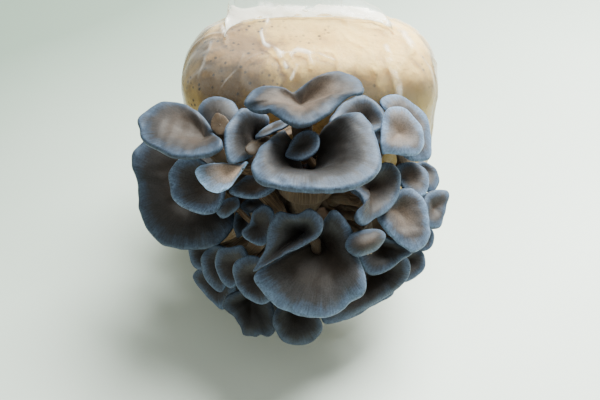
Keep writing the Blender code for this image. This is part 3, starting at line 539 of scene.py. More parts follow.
def through_points(points, count):
    """Evenly spaced points on a smooth closed curve through the points given."""
    steps = np.linspace(0, 1, CURVE_STEPS, endpoint=False)[:, None]
    before, start, end, after = (np.roll(points, shift, axis=0) for shift in (1, 0, -1, -2))
    pieces = [
        0.5 * (2 * b + (c - a) * steps + (2 * a - 5 * b + 4 * c - d) * steps**2
               + (3 * b - a - 3 * c + d) * steps**3)
        for a, b, c, d in zip(before, start, end, after)
    ]
    return evenly(np.vstack(pieces + [points[:1]]), count)


def evenly(curve, count):
    """Points an equal way apart along a closed line, whose last point is its first again."""
    run = np.concatenate(([0], np.cumsum(np.linalg.norm(np.diff(curve, axis=0), axis=1))))
    wanted = np.linspace(0, run[-1], count, endpoint=False)
    return np.stack([np.interp(wanted, run, curve[:, axis]) for axis in range(3)], axis=1)


def through_rings(controls, step):
    """Rings on smooth lines through the control rings, about a step apart."""
    controls = np.array(controls)
    gaps = np.linalg.norm(np.diff(controls, axis=0), axis=2).mean(axis=1)
    at = np.concatenate(([0], np.cumsum(gaps)))
    slopes = np.gradient(controls, at, axis=0)
    rings = []
    for index, gap in enumerate(gaps):
        for share in np.linspace(0, 1, max(2, round(gap / step)), endpoint=False):
            rest = 1 - share
            rings.append(
                controls[index] * rest * rest * (1 + 2 * share)
                + controls[index + 1] * share * share * (3 - 2 * share)
                + gap * share * rest * (slopes[index] * rest - slopes[index + 1] * share)
            )
    return rings + [controls[-1]]


class Waves:
    """Smooth random waves through space, mostly between -1 and 1, the same on every run."""

    def __init__(self, seed, length, count=16):
        draw = np.random.default_rng(seed)
        lengths = length * draw.uniform(0.6, 1.7, count)
        self.vectors = unit(draw.normal(size=(count, 3))) * (2 * math.pi / lengths)[:, None]
        self.phases = draw.uniform(0, 2 * math.pi, count)

    def __call__(self, points):
        return np.sin(points @ self.vectors.T + self.phases).sum(axis=-1) / math.sqrt(len(self.phases))


def shaken(points, seed, length, amount):
    """The points moved by smooth random waves, up to about the amount."""
    return points + amount * np.stack([Waves(seed + axis, length)(points) for axis in range(3)], axis=-1)


def round_waves(seed, turns, count):
    """A random closed wave round a ring, with bumps between the two counts, of about unit size."""
    draw = np.random.default_rng(seed)
    angles = np.linspace(0, 2 * math.pi, turns, endpoint=False)
    total = np.zeros(turns)
    for bumps in range(*count):
        total += draw.normal() / math.sqrt(bumps) * np.cos(bumps * angles + draw.uniform(0, 2 * math.pi))
    return total / total.std()


def round_mean(ring):
    """Each point of a closed ring averaged with its neighbours, up to a twelfth of the way round."""
    reach = len(ring) // 12
    weights = np.hanning(2 * reach + 3)[1:-1]
    shifts = range(-reach, reach + 1)
    total = sum(weight * np.roll(ring, shift, axis=0) for weight, shift in zip(weights, shifts))
    return total / weights.sum()


class Cap:
    """A mushroom's cap as a surface: share 0 is the navel and share 1 the rim."""

    def __init__(self, mushroom, count, ripple=0.0, seed=0):
        grid = np.array([point[:2] for point in mushroom.rim], float)
        lift = np.array([point[2] if len(point) > 2 else 0.0 for point in mushroom.rim])
        centre = grid.mean(axis=0)
        slope = np.array(mushroom.slope)

        def depth(place):
            offset = (np.array(place) - centre) * (GRID_STEP, -GRID_STEP)
            return mushroom.near + float(offset @ slope)

        rim = np.array([on_sight_line(*place, depth(place) + up) for place, up in zip(grid, lift)])
        self.rim = through_points(rim, count)
        self.navel = on_sight_line(*mushroom.navel, depth(mushroom.navel) - mushroom.dish)
        self.normal = unit(TO_EYE - slope[0] * RIGHT - slope[1] * UP)
        self.rise = (self.rim - self.navel) @ self.normal
        self.reach = self.rim - self.navel - np.outer(self.rise, self.normal)
        lengths = np.linalg.norm(self.reach, axis=1)
        self.bulge = mushroom.bulge * np.minimum(1, lengths / REACH_FOR_FULL_BULGE)
        self.flesh = mushroom.flesh
        around = np.cross(self.reach, np.roll(self.reach, -1, axis=0)) @ self.normal
        if around.sum() < 0:
            for field in ("rim", "rise", "reach", "bulge"):
                setattr(self, field, getattr(self, field)[::-1].copy())
        self.length = np.linalg.norm(self.reach, axis=1)
        self.around_rim = np.linalg.norm(self.rim - np.roll(self.rim, 1, axis=0), axis=1).sum()
        bumps = (FEWEST_BUMPS, max(2 * FEWEST_BUMPS, int(self.around_rim / BUMP_SPACING)))
        self.flutter = ripple * round_waves(seed, count, bumps)
        self.scallop = SCALLOP * ripple * round_waves(seed + 1, count, bumps) / self.length
        self.softened = ripple > 0
        self.folds = np.zeros(count)
        for column, row, width, proud in mushroom.folds if ripple else ():
            away = np.hypot(grid_place(self.rim)[0] - column, grid_place(self.rim)[1] - row)
            self.folds += proud * np.exp(-(away / width) ** 2)

    def top(self, share):
        """A ring of the upper side."""
        share = np.broadcast_to(share, self.rise.shape)
        edge = share**5
        deep = np.clip((self.rise - SHALLOW) / (DEEP - SHALLOW), 0, 1)
        funnel, bowl = 1 - (1 - share) ** FUNNEL_POWER, share**BOWL_POWER
        rise = self.rise * (deep * funnel + (1 - deep) * bowl)
        height = rise + self.bulge * np.sin(math.pi * share**1.3)
        height = height + self.flutter * edge + self.folds * share**1.5
        reach = self.reach * (share + self.scallop * edge)[:, None]
        ring = self.navel + reach + np.outer(height, self.normal)
        if self.softened:
            ring += (1 - share**3)[:, None] * (round_mean(ring) - ring)
        return ring

    def facing(self, share):
        """The direction the top faces, at each point of a ring."""
        ahead = self.top(np.minimum(1.0, share + SHARE_STEP))
        behind = self.top(np.maximum(SHARE_STEP / 2, share - SHARE_STEP))
        ring = self.top(share)
        along = np.roll(ring, -1, axis=0) - np.roll(ring, 1, axis=0)
        return unit(np.cross(ahead - behind, along))

    def thickness(self, share):
        """The flesh's thickness, less towards the rim and where the cap is narrow."""
        flesh = RIM_FLESH + (self.flesh - RIM_FLESH) * (1 - share)
        return np.minimum(flesh, (THIN_RIM + THIN_NAVEL * (1 - share)) * self.length)

    def under(self, share):
        """A ring of the underside, before its gills are cut."""
        return self.top(share) - self.thickness(share)[:, None] * self.facing(share)

    def round_navel(self):
        """Two directions across the cap, and the rim points' angles between them."""
        across = unit(self.reach[0])
        beside = np.cross(self.normal, across)
        return across, beside, np.unwrap(np.arctan2(self.reach @ beside, self.reach @ across))

    def even_angles(self):
        """Evenly spread angles that keep in step with the rim points."""
        angles = self.round_navel()[2]
        even = 2 * math.pi * np.arange(len(angles)) / len(angles)
        return even + (angles - even).mean()

    def neck(self, mushroom):
        """The ring under the navel where the stem begins."""
        across, beside, angles = self.round_navel()
        turn = NECK_IN_STEP * angles + (1 - NECK_IN_STEP) * self.even_angles()
        radii = np.minimum(mushroom.stem * mushroom.flare, NECK_SPREAD * self.length + 1)
        spokes = np.outer(np.cos(turn), across) + np.outer(np.sin(turn), beside)
        return self.navel - self.normal * self.flesh + spokes * radii[:, None]


def stem_stations(mushroom):
    """The centre, heading and radius of each ring of the solid's stem, from below its neck to its root."""
    cap = Cap(mushroom, mushroom.sides)
    mesh = bmesh.new()
    mesh.from_mesh(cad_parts[mushroom.name].data)
    bmesh.ops.remove_doubles(mesh, verts=mesh.verts, dist=0.01 * MM)
    mesh.verts.ensure_lookup_table()
    places = np.array([vertex.co for vertex in mesh.verts]) / MM

    def nearest(points):
        return {int(np.linalg.norm(places - point, axis=1).argmin()) for point in points}

    ring = nearest(cap.neck(mushroom))
    seen = ring | nearest(cap.under(NECK_SHARE))
    before = cap.navel - cap.normal * cap.flesh
    stations = []
    while True:
        edges = [edge for index in ring for edge in mesh.verts[index].link_edges]
        ring = {vertex.index for edge in edges for vertex in edge.verts} - seen
        if len(ring) < 3:
            break
        seen |= ring
        points = places[sorted(ring)]
        centre = points.mean(axis=0)
        heading = np.linalg.svd(points - centre)[2][2]
        heading *= math.copysign(1.0, heading @ (centre - before))
        stations.append((centre, heading, np.linalg.norm(points - centre, axis=1).mean()))
        before = centre
    mesh.free()
    if not stations:
        raise RuntimeError(f"the solid {mushroom.name} shows no stem below its neck")
    return stations


def turned(vectors, before, after):
    """Vectors turned by the smallest turn that takes one direction onto another."""
    axis = np.cross(before, after)
    if np.linalg.norm(axis) < 1e-9:
        return vectors
    spun = np.cross(axis, vectors)
    return vectors + spun + np.cross(axis, spun) / (1 + float(before @ after))


def stem_rings(cap, stations):
    """Rings down the stem, in step with the cap's rim."""
    frame_of_ring = np.array(cap.round_navel()[:2])
    even = cap.even_angles()
    facing = -cap.normal
    rings = []
    for centre, heading, radius in stations:
        frame_of_ring = turned(frame_of_ring, facing, heading)
        facing = heading
        spokes = np.outer(np.cos(even), frame_of_ring[0]) + np.outer(np.sin(even), frame_of_ring[1])
        rings.append(centre + spokes * radius)
    return rings


def lofted(name, rings, material, layers, first=None):
    """A mesh through rings of equal count, closed at both ends, with a number or a vector on each vertex."""
    rings = np.array(rings)
    count, sides = rings.shape[:2]
    first = rings[0].mean(axis=0) if first is None else first
    points = np.vstack([rings.reshape(-1, 3), [first, rings[-1].mean(axis=0)]]) * MM
    start = np.arange(sides)
    after = (start + 1) % sides
    quads = [np.stack((row * sides + start, (row + 1) * sides + start,
                       (row + 1) * sides + after, row * sides + after), axis=1) for row in range(count - 1)]
    final = (count - 1) * sides
    ends = np.vstack([
        np.stack((start, after, np.full(sides, count * sides)), axis=1),
        np.stack((final + start, np.full(sides, count * sides + 1), final + after), axis=1),
    ])
    data = bpy.data.meshes.new(name)
    data.from_pydata(points.tolist(), [], np.vstack(quads).tolist() + ends.tolist())
    data.shade_smooth()
    for layer, values in layers.items():
        values = np.array(values, dtype=float)
        shape = values.shape[2:]
        tips = [values[0].mean(axis=0)[None], values[-1].mean(axis=0)[None]]
        full = np.concatenate([values.reshape(-1, *shape), *tips])
        kind, field = ("FLOAT_VECTOR", "vector") if shape else ("FLOAT", "value")
        data.attributes.new(layer, kind, "POINT").data.foreach_set(field, full.ravel())
    data.materials.append(material)
    piece = bpy.data.objects.new(name, data)
    bpy.context.scene.collection.objects.link(piece)
    return piece


def fitted(piece, node):
    """Puts a piece in a CAD node's place."""
    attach(piece, "root")
    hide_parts(node)
    return piece


class Skin:
    """The rings of a mushroom from its navel to its root, and what its material reads at their points."""

    def __init__(self, mushroom, count):
        self.all_tan = mushroom.tan
        self.count = count
        self.rings, self.margin, self.beneath, self.along = [], [], [], []

    def add(self, ring, margin, beneath, along):
        """Adds a ring, how far it is from the margin, what side it is on and how far along the fibres."""
        self.rings.append(ring)
        self.margin.append(np.broadcast_to(margin, self.count))
        self.beneath.append(np.full(self.count, ALL_TAN if self.all_tan else beneath))
        self.along.append(np.broadcast_to(along, self.count))


def add_top(skin, cap, edge, steps):
    """The upper side, out to where the margin begins to roll."""
    spread = np.sqrt(TYPICAL_REACH * cap.length)
    for share in 1 - (1 - np.linspace(FIRST_SHARE, 1, steps)) ** RING_CROWDING:
        skin.add(cap.top(edge * share), (1 - edge * share) * spread, 0.0, -edge * share * cap.length)


def add_margin(skin, cap, edge, lip):
    """The margin, rolled over from the upper side to the gills."""
    shoulder, facing = cap.top(edge), cap.facing(edge)
    outward = shoulder - cap.top(edge - MARGIN_STEP)
    outward = unit(outward - (outward * facing).sum(axis=1)[:, None] * facing)
    for angle in np.radians(ROLL_TURNS):
        ring = shoulder + lip[:, None] * ((math.cos(angle) - 1) * facing + math.sin(angle) * outward)
        beneath = float(smooth(*GILLS_BEGIN, angle))
        skin.add(ring, lip * max(0.0, 1 - math.sin(angle)), beneath, -edge * cap.length)


def add_gills(skin, cap, edge, lip, cuts, steps):
    """The underside, from the margin in to the neck, with its gills cut in."""
    for share in np.linspace(1, 0, max(FEWEST_GILL_RINGS, int(GILL_RINGS * steps)), endpoint=False):
        at = NECK_SHARE + (edge - NECK_SHARE) * share
        near = smooth(*NEAR_MARGIN, share)
        thickness = cap.thickness(at) + (2 * lip - cap.thickness(at)) * near
        cut = cuts * (1 - smooth(*AT_MARGIN, share))
        facing = cap.facing(at)
        steep = 1 - np.clip(facing @ cap.normal, 0, 1)[:, None]
        inward = unit(facing + (1 - near) * (1 + STEEP_LEAN * steep) * cap.normal)
        skin.add(cap.top(at) - (thickness - cut)[:, None] * inward, 0.0, 1.0, -at * cap.length)


def add_stem(skin, cap, mushroom, cuts, step, root_spread):
    """The stem, grooved under the gills and wider at its root."""
    controls = [cap.under(NECK_SHARE), cap.neck(mushroom), *stem_rings(cap, stem_stations(mushroom))]
    down = through_rings(controls, step)
    heads = np.array([ring.mean(axis=0) for ring in down])
    runs = np.concatenate(([0], np.cumsum(np.linalg.norm(np.diff(heads, axis=0), axis=1))))
    for ring, head, run in zip(down, heads, runs):
        widened = 1 + root_spread * math.exp((run - runs[-1]) / ROOT_REACH)
        groove = cuts * (1 - smooth(*GROOVES_FADE, run)) / max(mushroom.stem, THIN_STEM)
        ring = head + (ring - head) * (widened - groove)[:, None]
        skin.add(ring, 0.0, 1.0 + float(smooth(0.0, FOOT_FADE, run)), run)


def mushroom_piece(mushroom, look, seed, material):
    """A cap with a rolled margin and gills, and its stem down to the clump."""
    spacing = look.detail / MM
    count = int(np.clip(Cap(mushroom, ROUGH_SIDES).around_rim / spacing, *CAP_SIDES))
    cap = Cap(mushroom, count, mushroom.ripple * look.ripple / MM, seed)
    lip = np.minimum(mushroom.lip * look.lip / MM, WIDEST_LIP * cap.length)
    edge = 1 - lip / cap.length
    steps = int(np.clip(cap.length.max() / spacing, *CAP_RINGS))
    angles = np.linspace(0, 2 * math.pi, count, endpoint=False)
    gill_count = max(FEWEST_GILLS, int(count / POINTS_A_GILL))
    cuts = look.gill_depth / MM * np.abs(np.sin(0.5 * gill_count * angles))

    skin = Skin(mushroom, count)
    add_top(skin, cap, edge, steps)
    add_margin(skin, cap, edge, lip)
    add_gills(skin, cap, edge, lip, cuts, steps)
    add_stem(skin, cap, mushroom, cuts, STEM_STEP * spacing, look.root_spread)
    rings = shaken(np.array(skin.rings), 7 * seed, SHAKE_LENGTH, SHAKE_DEPTH)

    wheel = cap.around_rim / (2 * math.pi)
    along = np.array(skin.along)
    grain = np.broadcast_arrays(wheel * np.cos(angles), wheel * np.sin(angles), along)
    layers = {
        "margin": skin.margin,
        "beneath": skin.beneath,
        "grain": np.stack(grain, axis=-1),
        "brown": np.full(along.shape, mushroom.brown),
        "tone": np.full(along.shape, mushroom.tone),
    }
    piece = lofted(mushroom.name.removeprefix("mushroom_"), rings, material, layers, first=cap.navel)
    return fitted(piece, mushroom.name)


def rounded_ring(half_wide, half_deep, height, centre, count):
    """Evenly spaced points round a rounded rectangle, level at a height."""
    angles = np.linspace(0, -2 * math.pi, RING_POINTS)
    power = 2 / BLOCK_CORNER_POWER
    cosines, sines = np.cos(angles), np.sin(angles)
    across = np.sign(cosines) * np.abs(cosines) ** power * half_wide + centre[0]
    along = np.sign(sines) * np.abs(sines) ** power * half_deep + centre[1]
    return evenly(np.stack((across, along, np.full(len(angles), height)), axis=1), count)


def block_rings(inset, count, step):
    """Rings of the block from its foot to its top, all of it a little inside the bag's outside."""
    rings = []
    radius = BLOCK_FOOT_RADIUS - inset
    for angle in np.linspace(0, math.pi / 2, round(math.pi / 2 * radius / step), endpoint=False):
        rings.append((inset + radius * (1 - math.sin(angle)), inset + radius * (1 - math.cos(angle))))
    low, high = BLOCK_FOOT_RADIUS, BLOCK_HEIGHT - BLOCK_SHOULDER
    heights = np.linspace(low, high, round((high - low) / step), endpoint=False)
    rings += [(inset, height) for height in heights]
    radius = BLOCK_SHOULDER - inset
    for angle in np.linspace(0, math.pi / 2, round(math.pi / 2 * radius / step)):
        rings.append((inset + radius * (1 - math.cos(angle)), high + radius * math.sin(angle)))
    return [rounded_ring(BLOCK_HALF_WIDTH - inward, BLOCK_HALF_DEPTH - inward, height, (0.0, 0.0), count)
            for inward, height in rings]


def domed(rings):
    """The rings with the block's flat top raised into a low dome."""
    across = rings[..., 0] / BLOCK_HALF_WIDTH
    along = (rings[..., 1] - DOME_BACK) / BLOCK_HALF_DEPTH
    lift = TOP_DOME * smooth(BLOCK_HEIGHT - DOME_FADE, BLOCK_HEIGHT, rings[..., 2])
    lift = lift * np.clip(1 - across**2 - along**2, 0.0, 1.0)
    return rings + lift[..., None] * (0.0, 0.0, 1.0)


def ring_normals(rings):
    """The direction that a lofted surface faces at each point of its rings."""
    along = np.roll(rings, -1, axis=1) - np.roll(rings, 1, axis=1)
    upward = np.gradient(rings, axis=0)
    return unit(np.cross(upward, along) + 1e-9)


def line_distance(columns, rows, line):
    """How far grid places lie from a line drawn through places on the grid."""
    places = np.stack((columns, rows), axis=-1)
    nearest = np.full(columns.shape, np.inf)
    for start, end in zip(line, line[1:]):
        start, end = np.array(start, float), np.array(end, float)
        share = np.clip((places - start) @ (end - start) / ((end - start) @ (end - start)), 0, 1)
        away = np.linalg.norm(places - start - share[..., None] * (end - start), axis=-1)
        nearest = np.minimum(nearest, away)
    return nearest


def spot(columns, rows, place, reach):
    """A soft spot on the grid: 1 at its place, and next to nothing at twice its reach."""
    return np.exp(-((columns - place[0]) / reach[0]) ** 2 - ((rows - place[1]) / reach[1]) ** 2)


def clump_piece(look, material):
    """The fused feet of the stems, lumpy and ribbed."""
    angles = np.linspace(0, -2 * math.pi, CLUMP_SIDES, endpoint=False)
    control = []
    for out, radius in CLUMP_PROFILE:
        control.append(np.stack((CLUMP_ACROSS + radius * np.cos(angles),
                                 np.full(CLUMP_SIDES, -BLOCK_HALF_DEPTH - out),
                                 CLUMP_HEIGHT + radius * np.sin(angles)), axis=1))
    rings = np.array(through_rings(control, CLUMP_STEP))
    normals = ring_normals(rings)
    length, depth = CLUMP_LUMPS
    rib_length, rib_depth = CLUMP_RIBS
    lumps = depth * np.abs(Waves(31, length)(rings)) + rib_depth * Waves(32, rib_length)(rings) - depth
    rings = rings + (look.lump / (depth * MM) * lumps)[..., None] * normals
    piece = lofted("clump_of_stem_feet", rings, material, {"depth": lumps})
    return fitted(piece, "stem_clump")


def block_piece(look, material):
    """The block of spawn-run sawdust, slightly lumpy and drawn in at its shoulders."""
    rings = domed(np.array(block_rings(BLOCK_INSET, BLOCK_SIDES, BLOCK_STEP)))
    normals = ring_normals(rings)
    length, depth = BLOCK_HOLLOWS
    dimple_length, dimple_depth = BLOCK_DIMPLES
    hollow = depth * np.abs(Waves(41, length)(rings))
    hollow = hollow + dimple_depth * np.abs(Waves(42, dimple_length)(rings))
    columns, rows = grid_place(rings)
    seen = smooth(0.1, 0.5, normals @ TO_EYE)
    place, reach, strength = BARE_TOP
    patch = strength * spot(columns, rows, place, reach) * seen
    # Painted shade on the block's front beside the clump, in the same layer as the bare sawdust
    place, reach, strength = PAINTED_SHADE_BY_CLUMP
    patch += strength * spot(columns, rows, place, reach) * (rings[..., 1] < 0)
    rings = rings - (look.lump / (depth * MM) * hollow)[..., None] * normals
    return fitted(lofted("spawn_block", rings, material, {"patch": patch}), "substrate_block")


def flap_rings():
    """Control rings from the gathered top to the end of the flap."""
    pleats = Waves(51, 9.0)
    rings = []
    for half, centre, height in FLAP_ROOT:
        rings.append(rounded_ring(*half, height, centre, FILM_SIDES))
    for index, (back, height, lean) in enumerate(FLAP_FOLD):
        ring = rounded_ring(FLAP_HALF_WIDTH, FLAP_HALF_THICKNESS, 0.0, (FLAP_ACROSS, 0.0), FILM_SIDES)
        across = np.stack((ring[:, 0], np.zeros(FILM_SIDES), np.full(FILM_SIDES, 20.0 * index)), axis=1)
        thick = ring[:, 1] + min(index, 3) * PLEAT_DEPTH * pleats(across * (1, 1, 0.15))
        ring[:, 1] = back + thick * math.cos(lean)
        ring[:, 2] = height + thick * math.sin(lean)
        rings.append(ring)
    rings[-1][:, 2] += FLAP_RAGGED * Waves(52, 30.0)(rings[-1] * (1, 0, 0))
    return rings


def crests(points, seed, length, height, width):
    """Thin creases along the lines where a smooth random wave crosses zero."""
    return height * np.exp(-(Waves(seed, length)(points) / width) ** 2)


def film_streaks(rings, normals):
    """How proud of the film each point is because of the creases that the eye sees."""
    columns, rows = grid_place(rings)
    seen = smooth(0.15, 0.5, normals @ TO_EYE)
    streaks = 0.0
    for line, width, proud in FILM_CREASES:
        streaks = streaks + proud * seen * np.exp(-(line_distance(columns, rows, line) / width) ** 2)
    return streaks


def film_piece(look, material):
    """The film: creased round the block, open where the clump grows out, folded down at the back."""
    rings = block_rings(0.0, FILM_SIDES, FILM_STEP)
    top = rings.pop()
    rings = domed(np.array(rings + through_rings([top, *flap_rings()], FILM_STEP)))
    normals = ring_normals(rings)

    height = crests(rings * CREASE_STRETCH, *LONG_CREASES)
    height += crests(shaken(rings, 63, 30, 6.0) * CREASE_STRETCH, *FINE_CREASES)
    height += 0.35 * Waves(64, 34)(rings)
    gathered = smooth(GATHER_FROM, GATHER_FULL, rings[..., 2])
    gathered = gathered * (1 - smooth(GATHER_FULL, GATHER_END, rings[..., 2]))
    round_top = np.arctan2(rings[..., 1] - GATHER_CENTRE, rings[..., 0])
    folds = np.abs(np.sin(GATHER_FOLDS * round_top + 1.5 * Waves(65, 50)(rings)))
    height += gathered * GATHER_DEPTH * folds
    streaks = film_streaks(rings, normals)
    height += streaks
    flap = smooth(GATHER_END, FLAP_FLAT_FROM, rings[..., 2]) + (rings[..., 1] > FLAP_BACK)
    height = np.where(flap > 0.5, 0.0, np.maximum(height, DEEPEST_DENT))
    height *= smooth(0.0, FLAT_FOOT, rings[..., 2])
    rings = rings + (look.crease / MM * height)[..., None] * normals

    film = lofted("clear_bag_film", rings, material, {"crease": streaks})
    open_hole(film)
    return fitted(film, "bag_film")


def open_hole(film):
    """Cuts the ragged hole in the film's front, round the clump."""
    mesh = bmesh.new()
    mesh.from_mesh(film.data)
    hole = Vector((CLUMP_ACROSS * MM, 0.0, CLUMP_HEIGHT * MM))
    inside = []
    for vertex in mesh.verts:
        away = vertex.co - hole
        away.y = 0.0
        angle = math.atan2(away.z, away.x)
        # Two waves round the rim make it ragged
        rim = (HOLE_RADIUS + 1.2 * math.sin(5 * angle) + 0.8 * math.sin(11 * angle + 1)) * MM
        if vertex.co.y < -BLOCK_HALF_DEPTH * 0.8 * MM and away.length < rim:
            inside.append((vertex, away, rim))
    doomed = {vertex for vertex, away, rim in inside if away.length < rim - HOLE_TEAR * MM}
    for vertex, away, rim in inside:
        if vertex not in doomed:
            vertex.co += away.normalized() * (rim - away.length)
    bmesh.ops.delete(mesh, geom=list(doomed), context="VERTS")
    mesh.to_mesh(film.data)
    mesh.free()


def node(tree, kind, inputs=None, **settings):
    """A new shader node with its settings, and its sockets set or linked."""
    made = tree.nodes.new(kind)
    for name, value in settings.items():
        setattr(made, name, value)
    for name, value in (inputs or {}).items():
        socket = made.inputs[name]
        if isinstance(value, bpy.types.NodeSocket):
            tree.links.new(value, socket)
        else:
            socket.default_value = value
    return made


def layer_of(tree, name):
    """The values that a mesh holds under a name."""
    return node(tree, "ShaderNodeAttribute", attribute_name=name)


def mixed(tree, share, first, second, how="MIX"):
    """One colour mixed over another."""
    made = node(tree, "ShaderNodeMix", {0: share, 6: first, 7: second}, data_type="RGBA", blend_type=how)
    return made.outputs[2]


def brightened(tree, colour, scale):
    """A colour times a number."""
    return node(tree, "ShaderNodeVectorMath", {0: colour, "Scale": scale}, operation="SCALE").outputs[0]


def ramp(tree, value, *stops):
    """A colour for each value, through (value, colour) stops."""
    made = node(tree, "ShaderNodeValToRGB", {"Fac": value})
    points = made.color_ramp.elements
    for place, colour in stops[2:]:
        points.new(place)
    for point, (place, colour) in zip(points, stops):
        point.position = place
        point.color = (*colour, 1.0) if isinstance(colour, tuple) else (colour, colour, colour, 1.0)
    return made.outputs["Color"]


def number(tree, how, first, second=0.0, third=0.0):
    """Arithmetic on numbers."""
    return node(tree, "ShaderNodeMath", {0: first, 1: second, 2: third}, operation=how).outputs[0]


def mapped(tree, value, low, high, new_low=0.0, new_high=1.0):
    """A value moved from one range to another."""
    return node(tree, "ShaderNodeMapRange", {0: value, 1: low, 2: high, 3: new_low, 4: new_high}).outputs[0]


def scaled(tree, vector, scale):
    """A place stretched along each axis."""
    return node(tree, "ShaderNodeMapping", {"Vector": vector, "Scale": scale}).outputs[0]


def noise(tree, vector, scale, detail=4.0, roughness=0.55):
    """Soft random blotches."""
    made = node(tree, "ShaderNodeTexNoise",
                {"Vector": vector, "Scale": scale, "Detail": detail, "Roughness": roughness})
    return made.outputs["Fac"]


def bumped(tree, height, distance, strength=1.0, under=None):
    """The shading of a relief, on top of another's if one is given."""
    inputs = {"Height": height, "Distance": distance, "Strength": strength}
    if under:
        inputs["Normal"] = under
    return node(tree, "ShaderNodeBump", inputs).outputs["Normal"]


def material_tree(name):
    """A material with an empty node tree but for its shader and output."""
    material = bpy.data.materials.new(name)
    material.use_nodes = True
    tree = material.node_tree
    return material, tree, tree.nodes["Principled BSDF"]


def set_sockets(tree, shader, **values):
    """Sets or links sockets of a shader by their names, with underscores for spaces."""
    for name, value in values.items():
        socket = shader.inputs[name.replace("_", " ")]
        if isinstance(value, bpy.types.NodeSocket):
            tree.links.new(value, socket)
        else:
            socket.default_value = value


def oyster_flesh(look):
    """Slate-blue rim, taupe centre with dark radial fibres, and tan gills beneath."""
    material, tree, shader = material_tree("oyster_flesh")
    place = node(tree, "ShaderNodeTexCoord").outputs["Object"]
    grain = layer_of(tree, "grain").outputs["Vector"]
    margin = layer_of(tree, "margin").outputs["Fac"]
    beneath = layer_of(tree, "beneath").outputs["Fac"]
    brown = layer_of(tree, "brown").outputs["Fac"]
    tone = layer_of(tree, "tone").outputs["Fac"]

    patches = noise(tree, place, 90.0, 3.0)
    streaks = noise(tree, scaled(tree, grain, (0.55, 0.55, 0.035)), 1.0, 5.0, 0.6)
    fibres = noise(tree, scaled(tree, grain, (1.7, 1.7, 0.07)), 1.0, 4.0, 0.6)
    specks = noise(tree, place, 900.0, 3.0)

    # How far in from the margin, made uneven by streaks and patches
    drift = number(tree, "MULTIPLY_ADD", number(tree, "SUBTRACT", streaks, 0.5), 7.0, margin)
    drift = number(tree, "MULTIPLY_ADD", number(tree, "SUBTRACT", patches, 0.5), 9.0, drift)
    inward = number(tree, "DIVIDE", drift, COLOUR_REACH)
    # Brown 0 gives a centre that is dark in part as painted shade of a deep funnel; brown past 1 brightens
    # the centre as painted light
    centre = mixed(tree, brown, (*look.dark_and_shaded_centre_colour, 1.0), (*look.centre_colour, 1.0))
    centre = brightened(tree, centre, number(tree, "MAXIMUM", brown, 1.0))
    # The very edge is painted darker than the margin band, as painted shade where the margin curls down
    cap = ramp(tree, inward, (0.0, tuple(look.shaded_edge_colour)), (0.05, tuple(look.rim_colour)),
               (0.14, tuple(look.band_colour)), (0.28, tuple(look.cap_colour)))
    cap = mixed(tree, mapped(tree, inward, 0.22, 0.6), cap, centre)
    cap = mixed(tree, 0.35, cap, ramp(tree, fibres, (0.32, 0.25), (0.6, 1.0)), "MULTIPLY")
    cap = mixed(tree, 0.4, cap, ramp(tree, specks, (0.38, 0.35), (0.58, 1.0)), "MULTIPLY")

    gills = noise(tree, scaled(tree, grain, (1.1, 1.1, 0.02)), 1.0, 2.0, 0.4)
    # Painted shade: darker stripes between the gills
    tan = mixed(tree, ramp(tree, gills, (0.4, 0.0), (0.58, 1.0)),
                (*look.painted_shade_between_gills, 1.0), (*look.gill_colour, 1.0))
    foot = mapped(tree, beneath, 1.2, 1.9)
    tan = mixed(tree, foot, tan, (*look.foot_colour, 1.0))
    tan = mixed(tree, 0.4, tan, ramp(tree, patches, (0.3, 0.4), (0.65, 1.0)), "MULTIPLY")
    tan = mixed(tree, 0.6, tan, ramp(tree, fibres, (0.3, 0.45), (0.62, 1.0)), "MULTIPLY")
    # Tone: in part a cap's own lightness, in part painted light and painted shade
    cap = brightened(tree, cap, tone)
    tan = brightened(tree, tan, number(tree, "MINIMUM", tone, 1.0))
    colour = mixed(tree, mapped(tree, beneath, 0.0, 1.0), cap, tan)

    # Gills show as ridges beneath and down the stem, but not on a cap that is tan all over
    grooved = number(tree, "SUBTRACT", number(tree, "MINIMUM", beneath, 1.0), mapped(tree, beneath, 2.2, 2.8))
    ridges = bumped(tree, gills, 0.0012, grooved)
    relief = number(tree, "MULTIPLY_ADD", fibres, 0.6, number(tree, "MULTIPLY", specks, 0.4))
    normal = bumped(tree, relief, 0.0003, 0.8, ridges)
    rough = mapped(tree, fibres, 0.3, 0.7, 0.62, 0.46)
    set_sockets(tree, shader, Base_Color=colour, Roughness=rough, Normal=normal,
                Subsurface_Weight=0.12, Subsurface_Radius=(1.0, 0.55, 0.35), Subsurface_Scale=0.0025,
                Specular_IOR_Level=0.25, Sheen_Weight=0.06, Sheen_Roughness=0.45,
                Sheen_Tint=(0.75, 0.82, 0.9, 1.0))
    return material


def clump_flesh(look):
    """Pale fused flesh, with painted shade in its hollows."""
    material, tree, shader = material_tree("pale_stem_feet")
    place = node(tree, "ShaderNodeTexCoord").outputs["Object"]
    depth = layer_of(tree, "depth").outputs["Fac"]
    blotches = noise(tree, place, 120.0, 5.0, 0.6)
    fuzz = noise(tree, place, 1400.0, 3.0)
    # Painted shade: the hollows between the lumps are darkened
    hollow = mapped(tree, depth, -2.2, 0.6)
    colour = mixed(tree, hollow, (*look.hollow_shade_colour, 1.0), (*look.colour, 1.0))
    colour = mixed(tree, 0.5, colour, ramp(tree, blotches, (0.35, 0.5), (0.62, 1.0)), "MULTIPLY")
    normal = bumped(tree, number(tree, "ADD", blotches, number(tree, "MULTIPLY", fuzz, 0.3)), 0.0012)
    set_sockets(tree, shader, Base_Color=colour, Roughness=mapped(tree, blotches, 0.3, 0.7, 0.85, 0.6),
                Normal=normal, Subsurface_Weight=0.15, Subsurface_Radius=(1.0, 0.7, 0.45),
                Subsurface_Scale=0.004)
    return material


